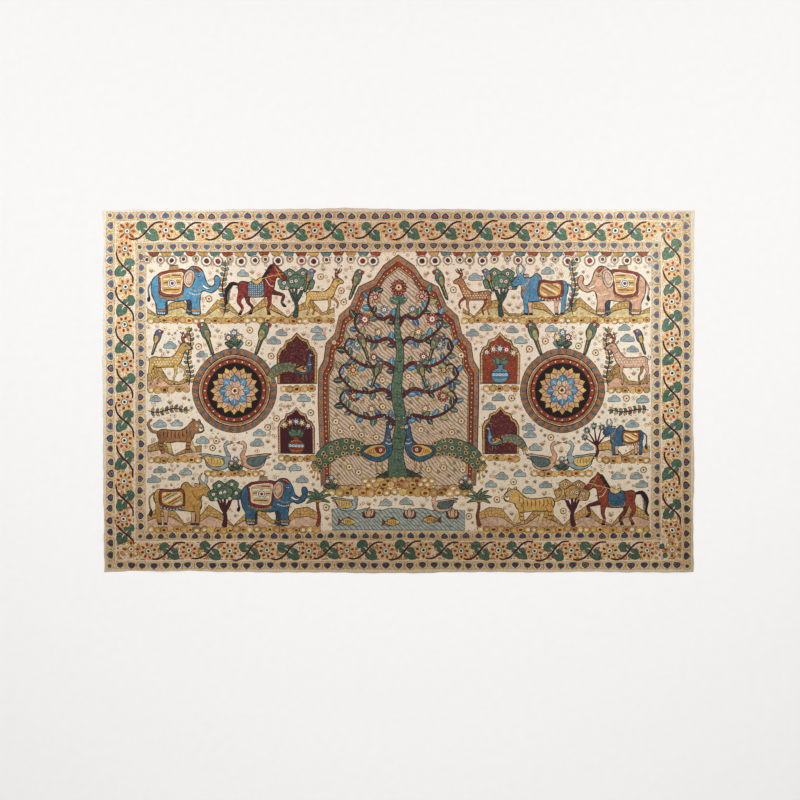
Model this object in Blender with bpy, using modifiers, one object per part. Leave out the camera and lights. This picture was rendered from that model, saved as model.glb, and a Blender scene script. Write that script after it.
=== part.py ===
# A hand-painted cotton panel, about 1.73 m long and 1.06 m wide, laid flat on a surface.
# It is one piece of cloth: its hem is turned from the same cotton, so the whole panel is one
# closed sheet. The sheet has the uneven outline of washed and dyed cloth, and low ridges that
# run in from the places where an edge is drawn in. Units are metres, +Z is up, and the origin
# is under the middle of the panel, on the surface that it lies on.

import math

import bpy

# Driving dimensions
LENGTH = 1.735  # along X, between the straight lines that the short edges wander about
WIDTH = 1.065  # along Y, between the straight lines that the long edges wander about
THICKNESS = 0.0012  # stiff, starched cotton with its dye
COLUMNS = 72  # cells of the sheet along X
ROWS = 44  # cells along Y

COTTON = (0.79, 0.68, 0.53, 1.0)  # ecru cotton dyed with myrobalan
COTTON_ROUGHNESS = 0.92

# Each row of an edge table is (share of the way along the edge, how far out it stands there in mm).
# The long edges run from -X to +X, and the short ones from -Y to +Y.
TOP_EDGE = [
    (0.00, -2.4),
    (0.10, -2.4),
    (0.17, 0.0),
    (0.27, 1.5),
    (0.34, 2.4),
    (0.41, 5.0),
    (0.48, 2.6),
    (0.51, 0.9),
    (0.61, 1.8),
    (0.68, -1.5),
    (0.75, -0.9),
    (0.81, 1.2),
    (0.88, 0.3),
    (1.00, -1.8),
]
BOTTOM_EDGE = [
    (0.00, 0.0),
    (0.05, -3.0),
    (0.14, -3.2),
    (0.21, -0.3),
    (0.31, 1.5),
    (0.37, 0.9),
    (0.44, 3.2),
    (0.54, 3.2),
    (0.58, 0.9),
    (0.65, -0.6),
    (0.75, 1.2),
    (0.81, -1.2),
    (0.88, 0.9),
    (1.00, 0.3),
]
LEFT_EDGE = [
    (0.00, -2.4),
    (0.06, -2.4),
    (0.12, -2.1),
    (0.22, 0.6),
    (0.33, 1.2),
    (0.45, 1.5),
    (0.55, 3.0),
    (0.66, 1.8),
    (0.78, -0.9),
    (0.89, -2.1),
    (0.95, -1.2),
    (1.00, 3.8),
]
RIGHT_EDGE = [
    (0.00, -0.6),
    (0.09, -1.0),
    (0.17, -3.4),
    (0.23, 0.9),
    (0.33, 1.5),
    (0.40, -3.0),
    (0.45, -3.8),
    (0.51, -2.0),
    (0.61, 0.3),
    (0.72, 1.5),
    (0.78, -0.3),
    (0.89, 0.6),
    (1.00, 2.9),
]

# Each row of RIDGES is (edge, share along that edge, half width, run in from the edge, height),
# the last three in metres. A ridge stands where the edge is drawn in, and fades into the flat cloth.
RIDGES = [
    ("top", 0.06, 0.075, 0.21, 0.0032),
    ("top", 0.69, 0.070, 0.17, 0.0024),
    ("bottom", 0.10, 0.085, 0.20, 0.0030),
    ("bottom", 0.66, 0.075, 0.14, 0.0018),
    ("bottom", 0.95, 0.080, 0.18, 0.0026),
    ("left", 0.09, 0.075, 0.16, 0.0024),
    ("left", 0.84, 0.085, 0.19, 0.0028),
    ("right", 0.17, 0.070, 0.17, 0.0027),
    ("right", 0.44, 0.080, 0.22, 0.0034),
    ("right", 0.80, 0.075, 0.15, 0.0020),
]


def eased(t):
    """0 to 1 with a level start and end."""
    return t * t * (3.0 - 2.0 * t)


def stands_out(table, share):
    """How far an edge stands out from its straight line, in metres, at a share of its length."""
    for (start, out_start), (end, out_end) in zip(table, table[1:]):
        if share <= end:
            t = eased((share - start) / (end - start))
            return (out_start + (out_end - out_start) * t) / 1000.0
    return table[-1][1] / 1000.0


def place(u, v):
    """The (x, y) of the cloth at the shares u along X and v along Y."""
    left = -LENGTH / 2.0 - stands_out(LEFT_EDGE, v)
    right = LENGTH / 2.0 + stands_out(RIGHT_EDGE, v)
    bottom = -WIDTH / 2.0 - stands_out(BOTTOM_EDGE, u)
    top = WIDTH / 2.0 + stands_out(TOP_EDGE, u)
    return left + (right - left) * u, bottom + (top - bottom) * v


def along_and_in(edge, u, v):
    """(share along an edge, distance in from it, the edge's length) for a point of the cloth."""
    if edge == "top":
        return u, (1.0 - v) * WIDTH, LENGTH
    if edge == "bottom":
        return u, v * WIDTH, LENGTH
    if edge == "left":
        return v, u * LENGTH, WIDTH
    return v, (1.0 - u) * LENGTH, WIDTH


def height(u, v):
    """How far the cloth's underside is lifted, which is exactly zero away from the ridges."""
    lift = 0.0
    for edge, middle, half_width, run, rise in RIDGES:
        along, inward, length = along_and_in(edge, u, v)
        off = abs(along - middle) * length / half_width
        if off < 1.0 and inward < run:
            crest = 0.5 + 0.5 * math.cos(math.pi * off)
            lift += rise * crest * (1.0 - eased(inward / run))
    return lift


def cotton():
    """Matt undyed cotton."""
    material = bpy.data.materials.new("painted_cotton")
    material.use_nodes = True
    shader = material.node_tree.nodes["Principled BSDF"]
    shader.inputs["Base Color"].default_value = COTTON
    shader.inputs["Roughness"].default_value = COTTON_ROUGHNESS
    shader.inputs["Metallic"].default_value = 0.0
    material.diffuse_color = COTTON
    return material


def panel(collection):
    """The sheet: a grid shaped to the cloth's outline and ridges, then given its thickness."""
    bpy.ops.mesh.primitive_grid_add(x_subdivisions=COLUMNS, y_subdivisions=ROWS, size=1.0)
    sheet = bpy.context.object
    sheet.name = "kalamkari_panel"
    sheet.data.name = "kalamkari_panel"
    for vertex in sheet.data.vertices:
        u = vertex.co.x + 0.5
        v = vertex.co.y + 0.5
        x, y = place(u, v)
        vertex.co = (x, y, height(u, v))

    # The wandering edges put the middle of the cloth's box off the origin, so it is moved back.
    across = [vertex.co.x for vertex in sheet.data.vertices]
    along = [vertex.co.y for vertex in sheet.data.vertices]
    middle_x = (min(across) + max(across)) / 2.0
    middle_y = (min(along) + max(along)) / 2.0
    for vertex in sheet.data.vertices:
        vertex.co.x -= middle_x
        vertex.co.y -= middle_y

    # The grid is the underside, so the thickness goes upwards along its normals.
    body = sheet.modifiers.new("cloth_thickness", "SOLIDIFY")
    body.thickness = THICKNESS
    body.offset = 1.0
    body.use_even_offset = False

    sheet.data.materials.append(cotton())
    for owner in list(sheet.users_collection):
        owner.objects.unlink(sheet)
    collection.objects.link(sheet)
    return sheet


def main():
    for old in list(bpy.data.objects):
        bpy.data.objects.remove(old, do_unlink=True)
    collection = bpy.data.collections.new("kalamkari_panel")
    bpy.context.scene.collection.children.link(collection)
    panel(collection)


main()
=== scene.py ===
# %% [markdown]
# # A hand-painted cotton panel
# This lesson dresses a plain CAD sheet as a kalamkari panel. Kalamkari means pen work: cotton is
# steeped in myrobalan, which turns it ecru, and is then drawn on with a bamboo pen and filled in
# with plant and mineral dyes. The CAD model comes first, as a fixed frame in metres, and the
# cloth that is made here has to stay inside it.

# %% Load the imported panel
import math
import random

import bpy
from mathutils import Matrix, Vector
from mathutils.bvhtree import BVHTree
from mathutils.geometry import delaunay_2d_cdt


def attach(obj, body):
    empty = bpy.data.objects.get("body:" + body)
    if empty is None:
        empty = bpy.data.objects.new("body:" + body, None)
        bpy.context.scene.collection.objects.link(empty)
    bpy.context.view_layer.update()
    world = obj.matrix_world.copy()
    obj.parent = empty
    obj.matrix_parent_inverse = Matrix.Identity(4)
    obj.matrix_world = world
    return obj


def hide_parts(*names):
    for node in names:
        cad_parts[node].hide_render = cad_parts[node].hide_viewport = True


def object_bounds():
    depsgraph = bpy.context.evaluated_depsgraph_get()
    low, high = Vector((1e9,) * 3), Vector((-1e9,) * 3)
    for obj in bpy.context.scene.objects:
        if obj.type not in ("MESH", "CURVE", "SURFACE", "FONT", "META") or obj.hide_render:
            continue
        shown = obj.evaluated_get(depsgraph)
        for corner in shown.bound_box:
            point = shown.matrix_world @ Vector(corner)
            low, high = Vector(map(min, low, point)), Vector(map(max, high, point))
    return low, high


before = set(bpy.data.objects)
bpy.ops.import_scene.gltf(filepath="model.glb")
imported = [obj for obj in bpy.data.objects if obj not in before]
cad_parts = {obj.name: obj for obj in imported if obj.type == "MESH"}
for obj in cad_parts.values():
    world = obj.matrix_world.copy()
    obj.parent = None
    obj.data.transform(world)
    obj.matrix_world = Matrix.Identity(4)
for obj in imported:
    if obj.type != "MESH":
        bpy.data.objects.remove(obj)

cad_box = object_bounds()
print("CAD box in metres:", cad_box)

# %% [markdown]
# ## The outline of the cloth
# Washed and dyed cotton never dries quite square. Its four edges wander by a few millimetres, and
# low ridges run in from the places where an edge is drawn in. The tables below are the same as in
# the part's source, so this cloth and the solid that stands for it in the physics agree. Lengths
# on the cloth are millimetres while it is drawn, because a pen stroke is one or two of them wide.

# %% The sheet's size, edges and ridges
LENGTH = 1735.0
WIDTH = 1065.0
THICKNESS = 1.2

TOP_EDGE = [(0.00, -2.4), (0.10, -2.4), (0.17, 0.0), (0.27, 1.5), (0.34, 2.4), (0.41, 5.0), (0.48, 2.6),
            (0.51, 0.9), (0.61, 1.8), (0.68, -1.5), (0.75, -0.9), (0.81, 1.2), (0.88, 0.3), (1.00, -1.8)]
BOTTOM_EDGE = [(0.00, 0.0), (0.05, -3.0), (0.14, -3.2), (0.21, -0.3), (0.31, 1.5), (0.37, 0.9), (0.44, 3.2),
               (0.54, 3.2), (0.58, 0.9), (0.65, -0.6), (0.75, 1.2), (0.81, -1.2), (0.88, 0.9), (1.00, 0.3)]
LEFT_EDGE = [(0.00, -2.4), (0.06, -2.4), (0.12, -2.1), (0.22, 0.6), (0.33, 1.2), (0.45, 1.5), (0.55, 3.0),
             (0.66, 1.8), (0.78, -0.9), (0.89, -2.1), (0.95, -1.2), (1.00, 3.8)]
RIGHT_EDGE = [(0.00, -0.6), (0.09, -1.0), (0.17, -3.4), (0.23, 0.9), (0.33, 1.5), (0.40, -3.0), (0.45, -3.8),
              (0.51, -2.0), (0.61, 0.3), (0.72, 1.5), (0.78, -0.3), (0.89, 0.6), (1.00, 2.9)]

# Edge, share of the way along it, half width, run in from the edge, and height, in millimetres.
RIDGES = [("top", 0.06, 75, 210, 3.2), ("top", 0.69, 70, 170, 2.4), ("bottom", 0.10, 85, 200, 3.0),
          ("bottom", 0.66, 75, 140, 1.8), ("bottom", 0.95, 80, 180, 2.6), ("left", 0.09, 75, 160, 2.4),
          ("left", 0.84, 85, 190, 2.8), ("right", 0.17, 70, 170, 2.7), ("right", 0.44, 80, 220, 3.4),
          ("right", 0.80, 75, 150, 2.0)]


def eased(t):
    """0 to 1 with a level start and end."""
    return t * t * (3.0 - 2.0 * t)


def stands_out(table, share):
    """How far an edge stands out from its straight line at a share of its length."""
    for (start, out_start), (end, out_end) in zip(table, table[1:]):
        if share <= end:
            t = eased((share - start) / (end - start))
            return out_start + (out_end - out_start) * t
    return table[-1][1]


def edges_at(u, v):
    """The left, right, bottom and top edge level with the shares u along X and v along Y."""
    return (-LENGTH / 2.0 - stands_out(LEFT_EDGE, v), LENGTH / 2.0 + stands_out(RIGHT_EDGE, v),
            -WIDTH / 2.0 - stands_out(BOTTOM_EDGE, u), WIDTH / 2.0 + stands_out(TOP_EDGE, u))


def place(u, v):
    """The cloth's point at those shares."""
    left, right, bottom, top = edges_at(u, v)
    return left + (right - left) * u, bottom + (top - bottom) * v


def lift(u, v):
    """How far the ridges raise the cloth there."""
    raised = 0.0
    for edge, middle, half_width, run, rise in RIDGES:
        along, inward, length = {
            "top": (u, (1.0 - v) * WIDTH, LENGTH),
            "bottom": (u, v * WIDTH, LENGTH),
            "left": (v, u * LENGTH, WIDTH),
            "right": (v, (1.0 - u) * LENGTH, WIDTH),
        }[edge]
        off = abs(along - middle) * length / half_width
        if off < 1.0 and inward < run:
            raised += rise * (0.5 + 0.5 * math.cos(math.pi * off)) * (1.0 - eased(inward / run))
    return raised


rim = [place(i / 400, 0.0) for i in range(400)] + [place(1.0, i / 250) for i in range(250)]
rim += [place(1.0 - i / 400, 1.0) for i in range(400)] + [place(0.0, 1.0 - i / 250) for i in range(250)]
MIDDLE_X = (min(x for x, y in rim) + max(x for x, y in rim)) / 2.0
MIDDLE_Y = (min(y for x, y in rim) + max(y for x, y in rim)) / 2.0
print("cloth outline:", round(max(x for x, y in rim) - min(x for x, y in rim), 1), "by",
      round(max(y for x, y in rim) - min(y for x, y in rim), 1), "mm, CAD",
      [round((cad_box[1][i] - cad_box[0][i]) * 1000, 1) for i in range(2)])

# %% [markdown]
# ## The pots of dye
# A kalamkari painter works from a few pots: black-brown drawn from iron and molasses, madder reds,
# indigo blues, pomegranate and myrobalan ochres, and the greens where blue goes over ochre. Each
# paint here is a colour as it looks on the cloth in good light. The last number says how it is
# laid: 0 is bare dyed cotton, 0.15 cotton with scattered dots, 0.25 cotton stippled with tiny dots,
# 0.35 cotton filled with small bubbles, 0.5 a thin wash that pools as it dries, 0.6 a wash under
# fine pen lines, 0.65 the same with ringed dots, 0.7 one with pale dots, 0.8 one with scales, and
# 1 dense pen line.

# %% Paints
PAINTS = {
    "cream": (255, 249, 235, 0.0),
    "dotted cream": (254, 242, 222, 0.15),
    "stipple": (246, 227, 203, 0.25),
    "white": (255, 252, 242, 0.0),
    "ochre": (252, 204, 112, 0.5),
    "gold": (228, 178, 92, 0.5),
    "honey": (250, 220, 160, 0.5),
    "orange": (210, 146, 92, 0.5),
    "peach": (250, 196, 162, 0.5),
    "blush": (254, 214, 186, 0.5),
    "sky": (92, 168, 210, 0.5),
    "blue": (62, 126, 170, 0.5),
    "indigo": (46, 74, 98, 0.5),
    "pale blue": (98, 146, 168, 0.5),
    "mist": (182, 206, 210, 0.5),
    "teal": (106, 150, 154, 0.5),
    "green": (92, 136, 116, 0.5),
    "leaf": (58, 90, 78, 0.5),
    "olive": (190, 180, 120, 0.5),
    "red": (212, 60, 50, 0.5),
    "madder": (166, 44, 48, 0.5),
    "maroon": (112, 36, 44, 0.5),
    "brick": (180, 74, 40, 0.5),
    "umber": (62, 48, 44, 1.0),
    "grey": (140, 128, 118, 1.0),
    "wine": (76, 30, 38, 1.0),
    "black": (34, 26, 30, 1.0),
    "vine ground": (255, 247, 227, 0.35),
    "arch ground": (248, 224, 196, 0.65),
    "water": (188, 206, 204, 0.6),
    "blue dots": (70, 128, 160, 0.7),
    "green scales": (108, 148, 120, 0.8),
    "gold scales": (222, 176, 100, 0.8),
    "faint": (214, 196, 172, 1.0),
}
print(len(PAINTS), "paints")

# %% [markdown]
# ## The pen
# Everything on the cloth is drawn as flat patches, laid one over another as a painter does: first
# the ground, then the washes, then the lines. A pen held in the hand drifts, so every point goes
# through a slow drift that moves it and its neighbours together, and the weight of a line changes
# along its length. The patches are plain lists of points for now. They are cut into one mesh later.

# %% Drift and smooth lines
hand = random.Random(41)
patches = []


def drift(x, y):
    """Where a point meant for (x, y) lands."""
    across = 1.1 * math.sin(y / 41.0 + 1.7 * math.sin(x / 83.0)) + 0.5 * math.sin(y / 17.0 + x / 29.0)
    along = 1.1 * math.sin(x / 37.0 + 1.3 * math.sin(y / 71.0)) + 0.5 * math.sin(x / 15.0 - y / 31.0)
    return x + across, y + along


def flowing(points, closed, gap):
    """A curve through the points, with a vertex about every gap millimetres."""
    count = len(points)
    line = []
    for i in range(count if closed else count - 1):
        if closed:
            a, b, c, d = (points[(i + k) % count] for k in (-1, 0, 1, 2))
        else:
            a, b, c, d = (points[min(max(i + k, 0), count - 1)] for k in (-1, 0, 1, 2))
        steps = max(1, min(8, round(math.dist(b, c) / gap)))
        for s in range(steps):
            t = s / steps
            line.append(tuple(
                0.5 * (2 * b[n] + (c[n] - a[n]) * t + (2 * a[n] - 5 * b[n] + 4 * c[n] - d[n]) * t * t
                       + (3 * b[n] - a[n] - 3 * c[n] + d[n]) * t * t * t)
                for n in range(len(b))))
    if not closed:
        line.append(points[-1])
    return line


def around(r, a):
    """The point at an angle on a circle."""
    return r * math.cos(a), r * math.sin(a)


def area(loop):
    """The signed area of a closed loop, positive when it runs anticlockwise."""
    return 0.5 * sum(a[0] * b[1] - b[0] * a[1] for a, b in zip(loop, loop[1:] + loop[:1]))


def swollen(loop, amounts):
    """An anticlockwise loop with each point pushed outwards by its amount."""
    count = len(loop)
    moved = []
    for i, (x, y) in enumerate(loop):
        tx = loop[(i + 1) % count][0] - loop[i - 1][0]
        ty = loop[(i + 1) % count][1] - loop[i - 1][1]
        size = math.hypot(tx, ty) or 1.0
        moved.append((x + ty / size * amounts[i], y - tx / size * amounts[i]))
    return moved


def within(x, y, shape, margin=0.0):
    """Whether a point lies inside a shape, at least the margin from its corners."""
    inside = False
    for (x0, y0), (x1, y1) in zip(shape, shape[1:] + shape[:1]):
        if (y0 > y) != (y1 > y) and x < (x1 - x0) * (y - y0) / (y1 - y0) + x0:
            inside = not inside
    return inside and all(math.dist((x, y), p) > margin for p in shape)


def crossings(shape, level):
    """Where a level line crosses the outline of a shape, from left to right."""
    return sorted(x0 + (x1 - x0) * (level - y0) / (y1 - y0)
                  for (x0, y0), (x1, y1) in zip(shape, shape[1:] + shape[:1])
                  if (y0 > level) != (y1 > level))


print("a point meant for the origin lands at", [round(n, 2) for n in drift(0.0, 0.0)])

# %% The pen
BLEED = 1.3  # a line spreads in the cotton to this many times its drawn width


def lay(loop, paint):
    """Put one patch of paint on the cloth, inside the hem's folded edge."""
    reach_x, reach_y = 863.0, 528.5
    loop = [(min(max(x, -reach_x), reach_x), min(max(y, -reach_y), reach_y)) for x, y in loop]
    if len(loop) > 2 and abs(area(loop)) > 0.4:
        patches.append((loop if area(loop) > 0 else loop[::-1], paint))


class Pen:
    """Draws a motif in its own millimetres, placed, sized, turned or flipped on the cloth."""

    def __init__(self, x, y, size=1.0, turn=0.0, flip=False):
        self.x, self.y, self.size, self.turn, self.flip = x, y, size, math.radians(turn), flip

    def spot(self, point):
        """A motif's point on the cloth, before the hand's drift."""
        px = -point[0] if self.flip else point[0]
        c, s = math.cos(self.turn), math.sin(self.turn)
        return (self.x + self.size * (px * c - point[1] * s), self.y + self.size * (px * s + point[1] * c))

    def on(self, points):
        return [self.spot(point) for point in points]

    def patch(self, points, paint, width, line="umber", curved=True, gap=4.5):
        """A wash of paint inside a drawn outline, or with no width a wash alone."""
        loop = self.on(points)
        if curved:
            loop = flowing(loop, True, gap)
        if area(loop) < 0:
            loop.reverse()
        loop = [drift(x, y) for x, y in loop]
        if width:
            beat = hand.uniform(0, 6.28)
            half = [BLEED * width * (0.5 + 0.14 * math.sin(beat + i * 0.9)) for i in range(len(loop))]
            lay(swollen(loop, half), line)
            loop = swollen(loop, [-h for h in half])
        lay(loop, paint)

    def stroke(self, points, width=1.7, paint="umber", curved=True, gap=4.0, ends=0.35):
        """One pull of the pen, thin where it lands and lifts."""
        line = self.on(points)
        if curved and len(line) > 2:
            line = flowing(line, False, gap)
        line = [drift(x, y) for x, y in line]
        count = len(line)
        left, right = [], []
        for i, (x, y) in enumerate(line):
            tx = line[min(i + 1, count - 1)][0] - line[max(i - 1, 0)][0]
            ty = line[min(i + 1, count - 1)][1] - line[max(i - 1, 0)][1]
            size = math.hypot(tx, ty) or 1.0
            share = i / (count - 1)
            swell = ends + (1.0 - ends) * math.sin(math.pi * min(max(share, 0.02), 0.98)) ** 0.5
            half = 0.5 * BLEED * width * swell
            left.append((x - ty / size * half, y + tx / size * half))
            right.append((x + ty / size * half, y - tx / size * half))
        lay(left + right[::-1], paint)

    def limb(self, points, widths, paint, line="umber", edge=1.5, gap=5.0):
        """A leg, neck, branch or trunk: a stroke with its own width at each point, outlined."""
        path = flowing([p + (w,) for p, w in zip(self.on(points), widths)], False, gap)
        sides = {}
        for grow in (0.5, -0.5):
            left, right = [], []
            for i, (x, y, w) in enumerate(path):
                tx = path[min(i + 1, len(path) - 1)][0] - path[max(i - 1, 0)][0]
                ty = path[min(i + 1, len(path) - 1)][1] - path[max(i - 1, 0)][1]
                size = math.hypot(tx, ty) or 1.0
                half = max(0.3, 0.5 * w * self.size + grow * edge)
                left.append(drift(x - ty / size * half, y + tx / size * half))
                right.append(drift(x + ty / size * half, y - tx / size * half))
                if i in (0, len(path) - 1):
                    way = -0.6 if i == 0 else 0.6
                    cap = drift(x + tx / size * half * way, y + ty / size * half * way)
                    left.insert(0, cap) if i == 0 else left.append(cap)
            sides[grow] = left + right[::-1]
        if line:
            lay(sides[0.5], line)
        lay(sides[-0.5], paint)

    def stripes(self, shape, pitch, width, paints, angle=0.0):
        """Straight bands across a shape, cut off at its edge."""
        c, s = math.cos(math.radians(angle)), math.sin(math.radians(angle))
        turned = [(x * c + y * s, -x * s + y * c) for x, y in shape]
        level = min(y for x, y in turned) + pitch * 0.6
        band = 0
        while level < max(y for x, y in turned):
            cuts = crossings(turned, level)
            for a, b in zip(cuts[::2], cuts[1::2]):
                if b - a > 3.0:
                    ends = [(x * c - level * s, x * s + level * c) for x in (a + 1.0, (a + b) / 2, b - 1.0)]
                    self.stroke(ends, width, paints[band % len(paints)], False, ends=0.8)
            level += pitch
            band += 1

    def speckles(self, shape, pitch, r, paints, sides=5):
        """Rows of dots over a shape."""
        row = 0
        y = min(p[1] for p in shape) + pitch * 0.6
        while y < max(p[1] for p in shape):
            x = min(p[0] for p in shape) + pitch * (0.5 + 0.5 * (row % 2))
            while x < max(p[0] for p in shape):
                if within(x, y, shape, r * 1.6):
                    self.dot(x + hand.uniform(-0.3, 0.3), y, r, paints[row % len(paints)], sides)
                x += pitch
            y += pitch * 0.86
            row += 1

    def beads(self, points, pitch, r, paint, sides=6, curved=True):
        """A string of dots along a path."""
        path = flowing(points, False, 3.0) if curved else points
        left_over = pitch * 0.5
        for (x0, y0), (x1, y1) in zip(path, path[1:]):
            step = math.dist((x0, y0), (x1, y1))
            while left_over < step:
                x = x0 + (x1 - x0) * left_over / step
                y = y0 + (y1 - y0) * left_over / step
                self.dot(x, y, r, paint, sides)
                left_over += pitch
            left_over -= step

    def dot(self, x, y, r, paint, sides=8, squash=1.0, turn=0.0):
        """A round or oval dab."""
        start = hand.uniform(0, 6.28 / sides)
        loop = []
        for i in range(sides):
            a = start + 2 * math.pi * i / sides
            px, py = r * math.cos(a), r * squash * math.sin(a)
            c, s = math.cos(math.radians(turn)), math.sin(math.radians(turn))
            wobble = 1.0 + hand.uniform(-0.07, 0.07) * min(1.0, 8.0 / r)
            loop.append((x + (px * c - py * s) * wobble, y + (px * s + py * c) * wobble))
        lay([drift(*p) for p in self.on(loop)], paint)

    def rings(self, x, y, bands, sides=10):
        """Dabs inside one another, largest first: (radius, paint)."""
        for r, paint in bands:
            enough = 6 if r * self.size < 3.0 else 7 if r * self.size < 5.0 else sides
            self.dot(x, y, r, paint, min(sides, enough))

    def move(self, x, y, size=1.0, turn=0.0, flip=False):
        """Another pen whose motif sits in this one's."""
        inner = Pen(*self.spot((x, y)), self.size * size, 0.0, self.flip != flip)
        inner.turn = self.turn + (-1.0 if self.flip else 1.0) * math.radians(turn)
        return inner


print("pen ready")

# %% [markdown]
# ## The bands of the border
# From the edge inwards come a bare margin, a row of eyes, a vine band and a second row of eyes.
# The rows stand on stippled ground and the vine among bubbles, and a bare line parts them. Nested
# patches are the simplest way to lay such frames: each one covers the middle of the last.

# %% Grounds
def frame_patch(left, right, bottom, top, paint):
    """A hand-ruled rectangle."""
    loop = []
    corners = [(left, bottom), (right, bottom), (right, top), (left, top)]
    for (x0, y0), (x1, y1) in zip(corners, corners[1:] + corners[:1]):
        steps = int(math.dist((x0, y0), (x1, y1)) / 32)
        loop += [drift(x0 + (x1 - x0) * i / steps, y0 + (y1 - y0) * i / steps) for i in range(steps)]
    lay(loop, paint)


FIELD = (-742.0, 742.5, -413.0, 407.0)  # left, right, bottom, top of the painted field
frame_patch(-860, 860, -526, 526, "stipple")
frame_patch(-833, 834.5, -500.5, 499, "cream")
frame_patch(-830, 831.5, -497.5, 496, "vine ground")
frame_patch(-777, 774, -445, 438.5, "cream")
frame_patch(-774, 771, -442, 435.5, "stipple")
frame_patch(-743.2, 743.7, -414.2, 408.2, "faint")
frame_patch(*FIELD, "dotted cream")
print("field is", FIELD[1] - FIELD[0], "by", FIELD[3] - FIELD[2], "mm")

# %% [markdown]
# ## Rows of eyes
# Each eye is a blue drop with a red heart in an ochre oval. In the outer rows the drop points out
# to the edge, and in the inner rows it points to the field. They are spaced by eye, so the sizes
# and gaps vary a little, and a small dash stands between two ovals.

# %% The eye and its rows
DROP = [(0, 10.8), (3.8, 8.4), (7.8, 5.7), (11.0, 1.0), (11.4, -4.0), (7.5, -8.0), (0, -9.0), (-7.5, -8.0),
        (-11.4, -4.0), (-11.0, 1.0), (-7.8, 5.7), (-3.8, 8.4)]


def eye(x, y, turn, size):
    """One eye: palest near the top corners, darker in the middle and round the foot of the cloth."""
    pen = Pen(x, y, size, turn)
    rim, inside = "indigo", hand.choice(("blue", "blue", "teal"))
    if y > hand.uniform(-250, 300) and abs(x) > hand.uniform(200, 700):
        rim, inside = "pale blue", "blue"
    elif y < hand.uniform(-600, 0):
        rim, inside = inside, "indigo"
    pen.dot(0, 0, 17.2, "ochre", 10, 0.83)
    pen.dot(0, 0, 13.6, "cream", 9, 0.83)
    pen.patch(DROP, rim, 0, curved=False)
    pen.patch([(px * 0.72, py * 0.72 - 0.5) for px, py in DROP[1::2]], inside, 0, curved=False)
    pen.dot(hand.uniform(-0.8, 0.8), -0.8, 4.4, "red" if hand.uniform(-450, 450) < y else "madder", 7, 0.85)


def eye_row(start, end, count, turn, size):
    """Eyes from one corner to the next, with dashes between them."""
    (x0, y0), (x1, y1) = start, end
    for i in range(count):
        share = (i + 0.5 + hand.uniform(-0.07, 0.07)) / count
        x = x0 + (x1 - x0) * share + hand.uniform(-0.7, 0.7)
        y = y0 + (y1 - y0) * share + hand.uniform(-0.7, 0.7)
        eye(x, y, turn + hand.uniform(-5, 5), size * hand.uniform(0.93, 1.05))
    for i in range(1, count):
        x = x0 + (x1 - x0) * i / count
        y = y0 + (y1 - y0) * i / count
        Pen(x, y, 1.0, turn).stroke([(0, -5.0), (0, 5.0)], 2.2, "brick", False)


def small_eye(x, y, inside):
    Pen(x, y).rings(0, 0, [(11.5, "ochre"), (9.0, "cream"), (6.6, "teal"), (3.0, inside)])


eye_row((-838, 512.5), (838, 513), 49, 0, 1.0)
eye_row((-838, -514), (838, -513.5), 49, 180, 1.0)
eye_row((-847.5, -503), (-847, 501), 29, 90, 1.0)
eye_row((847, -503), (846.5, 501), 29, -90, 1.0)
eye_row((-748, 421.5), (752, 427.5), 45, 180, 0.93)
eye_row((-748, -428.5), (750, -426), 45, 0, 0.93)
eye_row((-758.5, -417), (-756, 414), 24, -90, 0.95)
eye_row((760, -416), (757, 414), 24, 90, 0.95)
for x, y in ((-850, 515), (850, 515), (-850, -516), (850, -516),
             (-760, 423), (759, 427), (-760, -428), (762, -427)):
    small_eye(x, y, "madder" if x < -800 else "indigo")
print(len(patches), "patches so far")

# %% [markdown]
# ## The vine band
# A rosette, a pair of leaves on an S-shaped stem, a rosette, and so on round the panel. The leaves
# are green with a bare slit for the midrib, and the gaps are filled with ochre bubbles, as a
# painter does who wants no empty ground in a border.

# %% Rosette
def rosette(x, y, petals):
    """A round flower of the vine band."""
    pen = Pen(x, y, hand.uniform(0.95, 1.04), hand.uniform(0, 45))
    for i in range(petals):
        a = 2 * math.pi * i / petals
        pen.dot(*around(18.6, a), 8.9, "ochre", 9)
        pen.dot(*around(18.2, a), 6.3, "cream", 7)
    pen.dot(0, 0, 14.8, "ochre", 11)
    pen.dot(0, 0, 13.4, "honey", 10)
    for i in range(petals):
        a = 2 * math.pi * i / petals
        paint = hand.choice(("red", "madder", "madder", "brick"))
        pen.dot(*around(18.2, a), 5.6, paint, 7, 0.84, math.degrees(a))
    pen.rings(0, 0, [(11.6, "ochre"), (10.6, "teal"), (8.0, "white"), (4.2, "black")])


print("rosette ready")

# %% Stem and leaves
MITTEN = [(-2, 2), (-4, 8), (0, 13.5), (7, 15), (11, 11), (13, 7), (18, 13), (26, 11.5), (31, 3), (30, -7),
          (23, -14), (13, -15.5), (5, -11), (1, -5), (3, -1)]
HEART = [(0, -2), (-3, -8), (0, -14), (7, -17), (13, -14), (20, -13), (28, -7), (33, 3), (26, 9), (20, 11),
         (15, 16), (7, 17), (-1, 13), (-3, 6), (0, 2)]


def vine_leaf(pen, outline):
    """A lobed leaf spreading along +X, with a bare slit that curls in from its notch."""
    pen.patch(outline, "green", 1.4, "leaf", gap=6)
    pen.patch([(-3, -1.2), (5, -2.0), (11, 1.6), (5, 0.6), (-3, 1.4)], "cream", 0, curved=False)
    for start, tip in (((12, 3), (26, 4)), ((9, 4), (13, 12)), ((9, -4), (15, -12)), ((13, -2), (26, -8))):
        pen.stroke([start, tip], 1.7, "leaf", False)


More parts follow.
